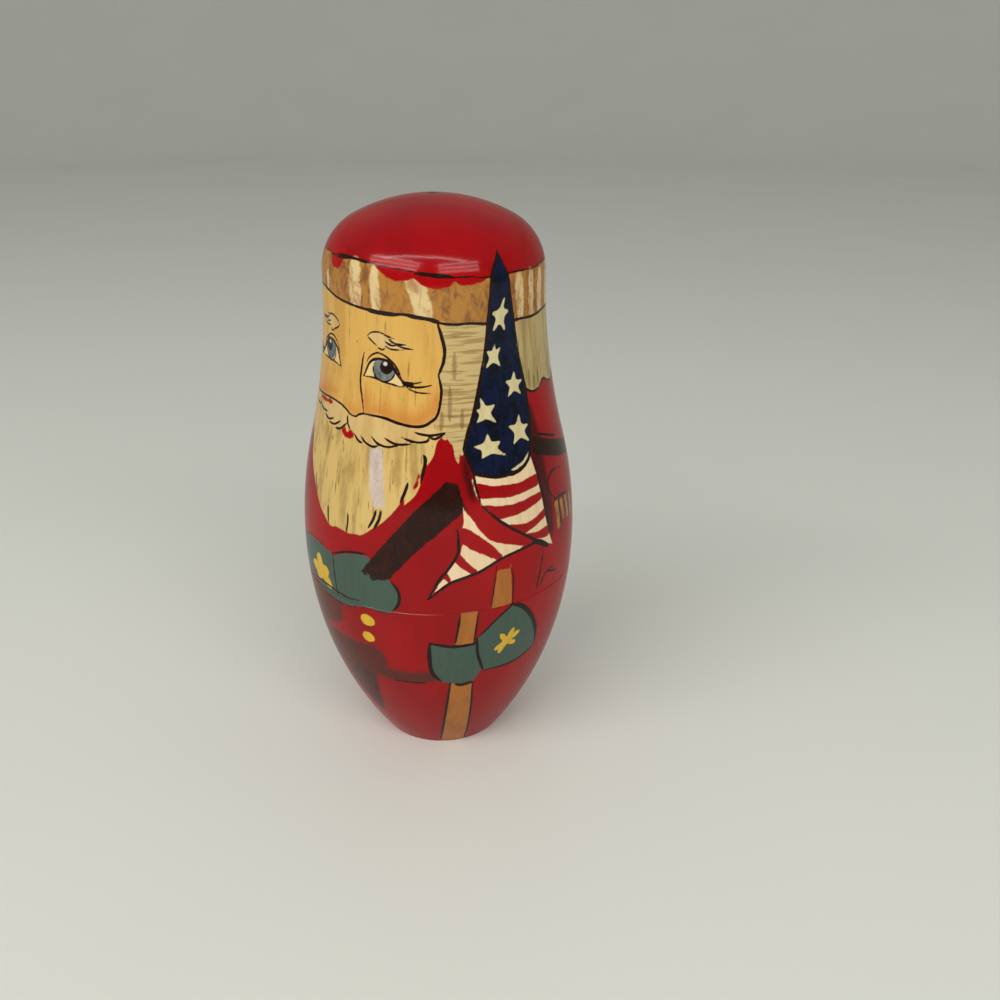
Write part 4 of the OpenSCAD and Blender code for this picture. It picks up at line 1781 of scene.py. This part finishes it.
@dataclass(frozen=True)
class PhotoCamera:
    """The camera at the photograph's viewpoint, worked out from the doll's outline in it.

    Attributes:
        azimuth: Where it stands round the doll, in degrees.
        reach: How far it stands from the doll's axis, in millimetres.
        height: How high it stands, in millimetres.
        pitch: How far it looks down, in degrees.
        yaw: How far it looks to the right of the doll's axis, in degrees.
        roll: How far it leans, in degrees.
        focal_px: Focal length, in pixels of the picture.
        picture_px: Width of the picture, in pixels.
        sensor_mm: Width of the sensor, in millimetres.
        clip: Nearest and farthest that it shows, in metres.
    """

    azimuth: float = 44.0
    reach: float = 238.5
    height: float = 164.9
    pitch: float = 23.06
    yaw: float = 3.77
    roll: float = 0.26
    focal_px: float = 1000.0
    picture_px: float = 1000.0
    sensor_mm: float = 36.0
    clip: tuple[float, float] = (0.01, 50.0)

    def place(self) -> None:
        """Makes the camera and hands it to the scene."""
        pitch, yaw, roll = (math.radians(v) for v in (self.pitch, self.yaw, self.roll))
        ahead = Vector((math.sin(yaw), math.cos(yaw), 0.0))
        forward = ahead * math.cos(pitch) - Vector((0.0, 0.0, math.sin(pitch)))
        side = Vector((math.cos(yaw), -math.sin(yaw), 0.0))
        rise = side.cross(forward)
        right = side * math.cos(roll) + rise * math.sin(roll)
        up = rise * math.cos(roll) - side * math.sin(roll)
        stand = Vector((0.0, -self.reach, self.height)) * MM
        axes = Matrix((right, up, -forward)).transposed().to_4x4()
        data = bpy.data.cameras.new("photo_camera")
        data.sensor_width = self.sensor_mm
        data.lens = self.sensor_mm * self.focal_px / self.picture_px
        data.clip_start, data.clip_end = self.clip
        camera = bpy.data.objects.new("photo_camera", data)
        turn = Matrix.Rotation(math.radians(self.azimuth), 4, "Z")
        camera.matrix_world = turn @ Matrix.Translation(stand) @ axes
        bpy.context.scene.collection.objects.link(camera)
        bpy.context.scene.camera = camera


@dataclass(frozen=True)
class Studio:
    """Pale table that sweeps up into a backdrop all round, with soft light.

    Attributes:
        first_r: Radius of the table's first ring, in metres.
        flat_r: Radius of its flat part.
        sweep_r: Radius of the bend at the flat part's edge.
        wall_h: Height of the wall above the table.
        rings: Rings on the flat part, and again on the bend.
        column_deg: Degrees from one column to the next.
        aim_z: Height that the lamps are aimed at.
        world_colour: Colour of the light from all round.
        world_strength: Strength of that light.
        boxes: The lamps.
    """

    first_r: float = 0.05
    flat_r: float = 2.0
    sweep_r: float = 0.9
    wall_h: float = 1.6
    rings: int = 24
    column_deg: float = 3.0
    aim_z: float = 0.07
    world_colour: Colour = srgb(236, 238, 236)
    world_strength: float = 0.43
    boxes: tuple[Softbox, ...] = (
        Softbox("high_window", azimuth=30.0, elevation=48.0, width=1.9, height=0.12, power=4.0),
        Softbox("left_window", azimuth=0.0, elevation=33.0, width=1.1, height=0.4, power=5.9, slats=3),
        Softbox("right_window", azimuth=70.0, elevation=28.0, width=0.85, height=0.4, power=3.9, slats=3),
    )

    def table(self, finish: bpy.types.Material) -> None:
        """Makes the table: a flat disc, a quarter round and an upright wall, in one turned sheet.

        Args:
            finish: Its material.
        """
        sweep = np.radians(np.linspace(0.0, 90.0, self.rings))[1:]
        flat = np.linspace(self.first_r, self.flat_r, self.rings)
        radius = np.concatenate([
            [0.0], flat, self.flat_r + self.sweep_r * np.sin(sweep), [self.flat_r + self.sweep_r]])
        height = np.concatenate([[0.0], flat * 0.0, self.sweep_r * (1 - np.cos(sweep)), [self.wall_h]])
        columns = np.arange(0.0, 360.0, self.column_deg)
        grid = in_space(radius[:, None], columns, height[:, None])
        number, after = ring_numbers(len(radius), len(columns))
        quads = np.stack([number[:-1], number[1:], after[1:], after[:-1]], axis=-1).reshape(-1, 4)
        mesh = smooth_mesh("table", grid.reshape(-1, 3), [quads], np.zeros(len(quads)))
        mesh.materials.append(finish)
        table = bpy.data.objects.new("table", mesh)
        bpy.context.scene.collection.objects.link(table)

    def build(self, finish: bpy.types.Material) -> None:
        """Makes the table, the lamps and the world.

        Args:
            finish: The table's material.
        """
        self.table(finish)
        target = Vector((0.0, 0.0, self.aim_z))
        for box in self.boxes:
            box.place(target)
        world = bpy.data.worlds.new("pale_room")
        world.use_nodes = True
        backdrop = world.node_tree.nodes["Background"]
        backdrop.inputs["Color"].default_value = self.world_colour
        backdrop.inputs["Strength"].default_value = self.world_strength
        bpy.context.scene.world = world


def main() -> None:
    """Builds the studio and every doll, from the outside in."""
    logging.basicConfig(level=logging.INFO, format="%(name)s: %(message)s")
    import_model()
    bpy.context.scene.view_settings.view_transform = "Standard"
    PhotoCamera().place()
    Studio().build(TableFinish().material())
    skin = DollSkin()
    finishes = [PaintedFigureFinish().material(), BareWoodFinish().material()]
    # The smaller a doll, the fewer of the skin's columns and rows it keeps.
    for name, thin in (("outer", (1, 1)), ("second", (1, 1)), ("third", (2, 1)), ("fourth", (2, 2))):
        Doll(name, skin, finishes, thin).halves()
    CoreDoll("core", skin, finishes, (2, 2)).solid()


if __name__ == "__main__":
    main()
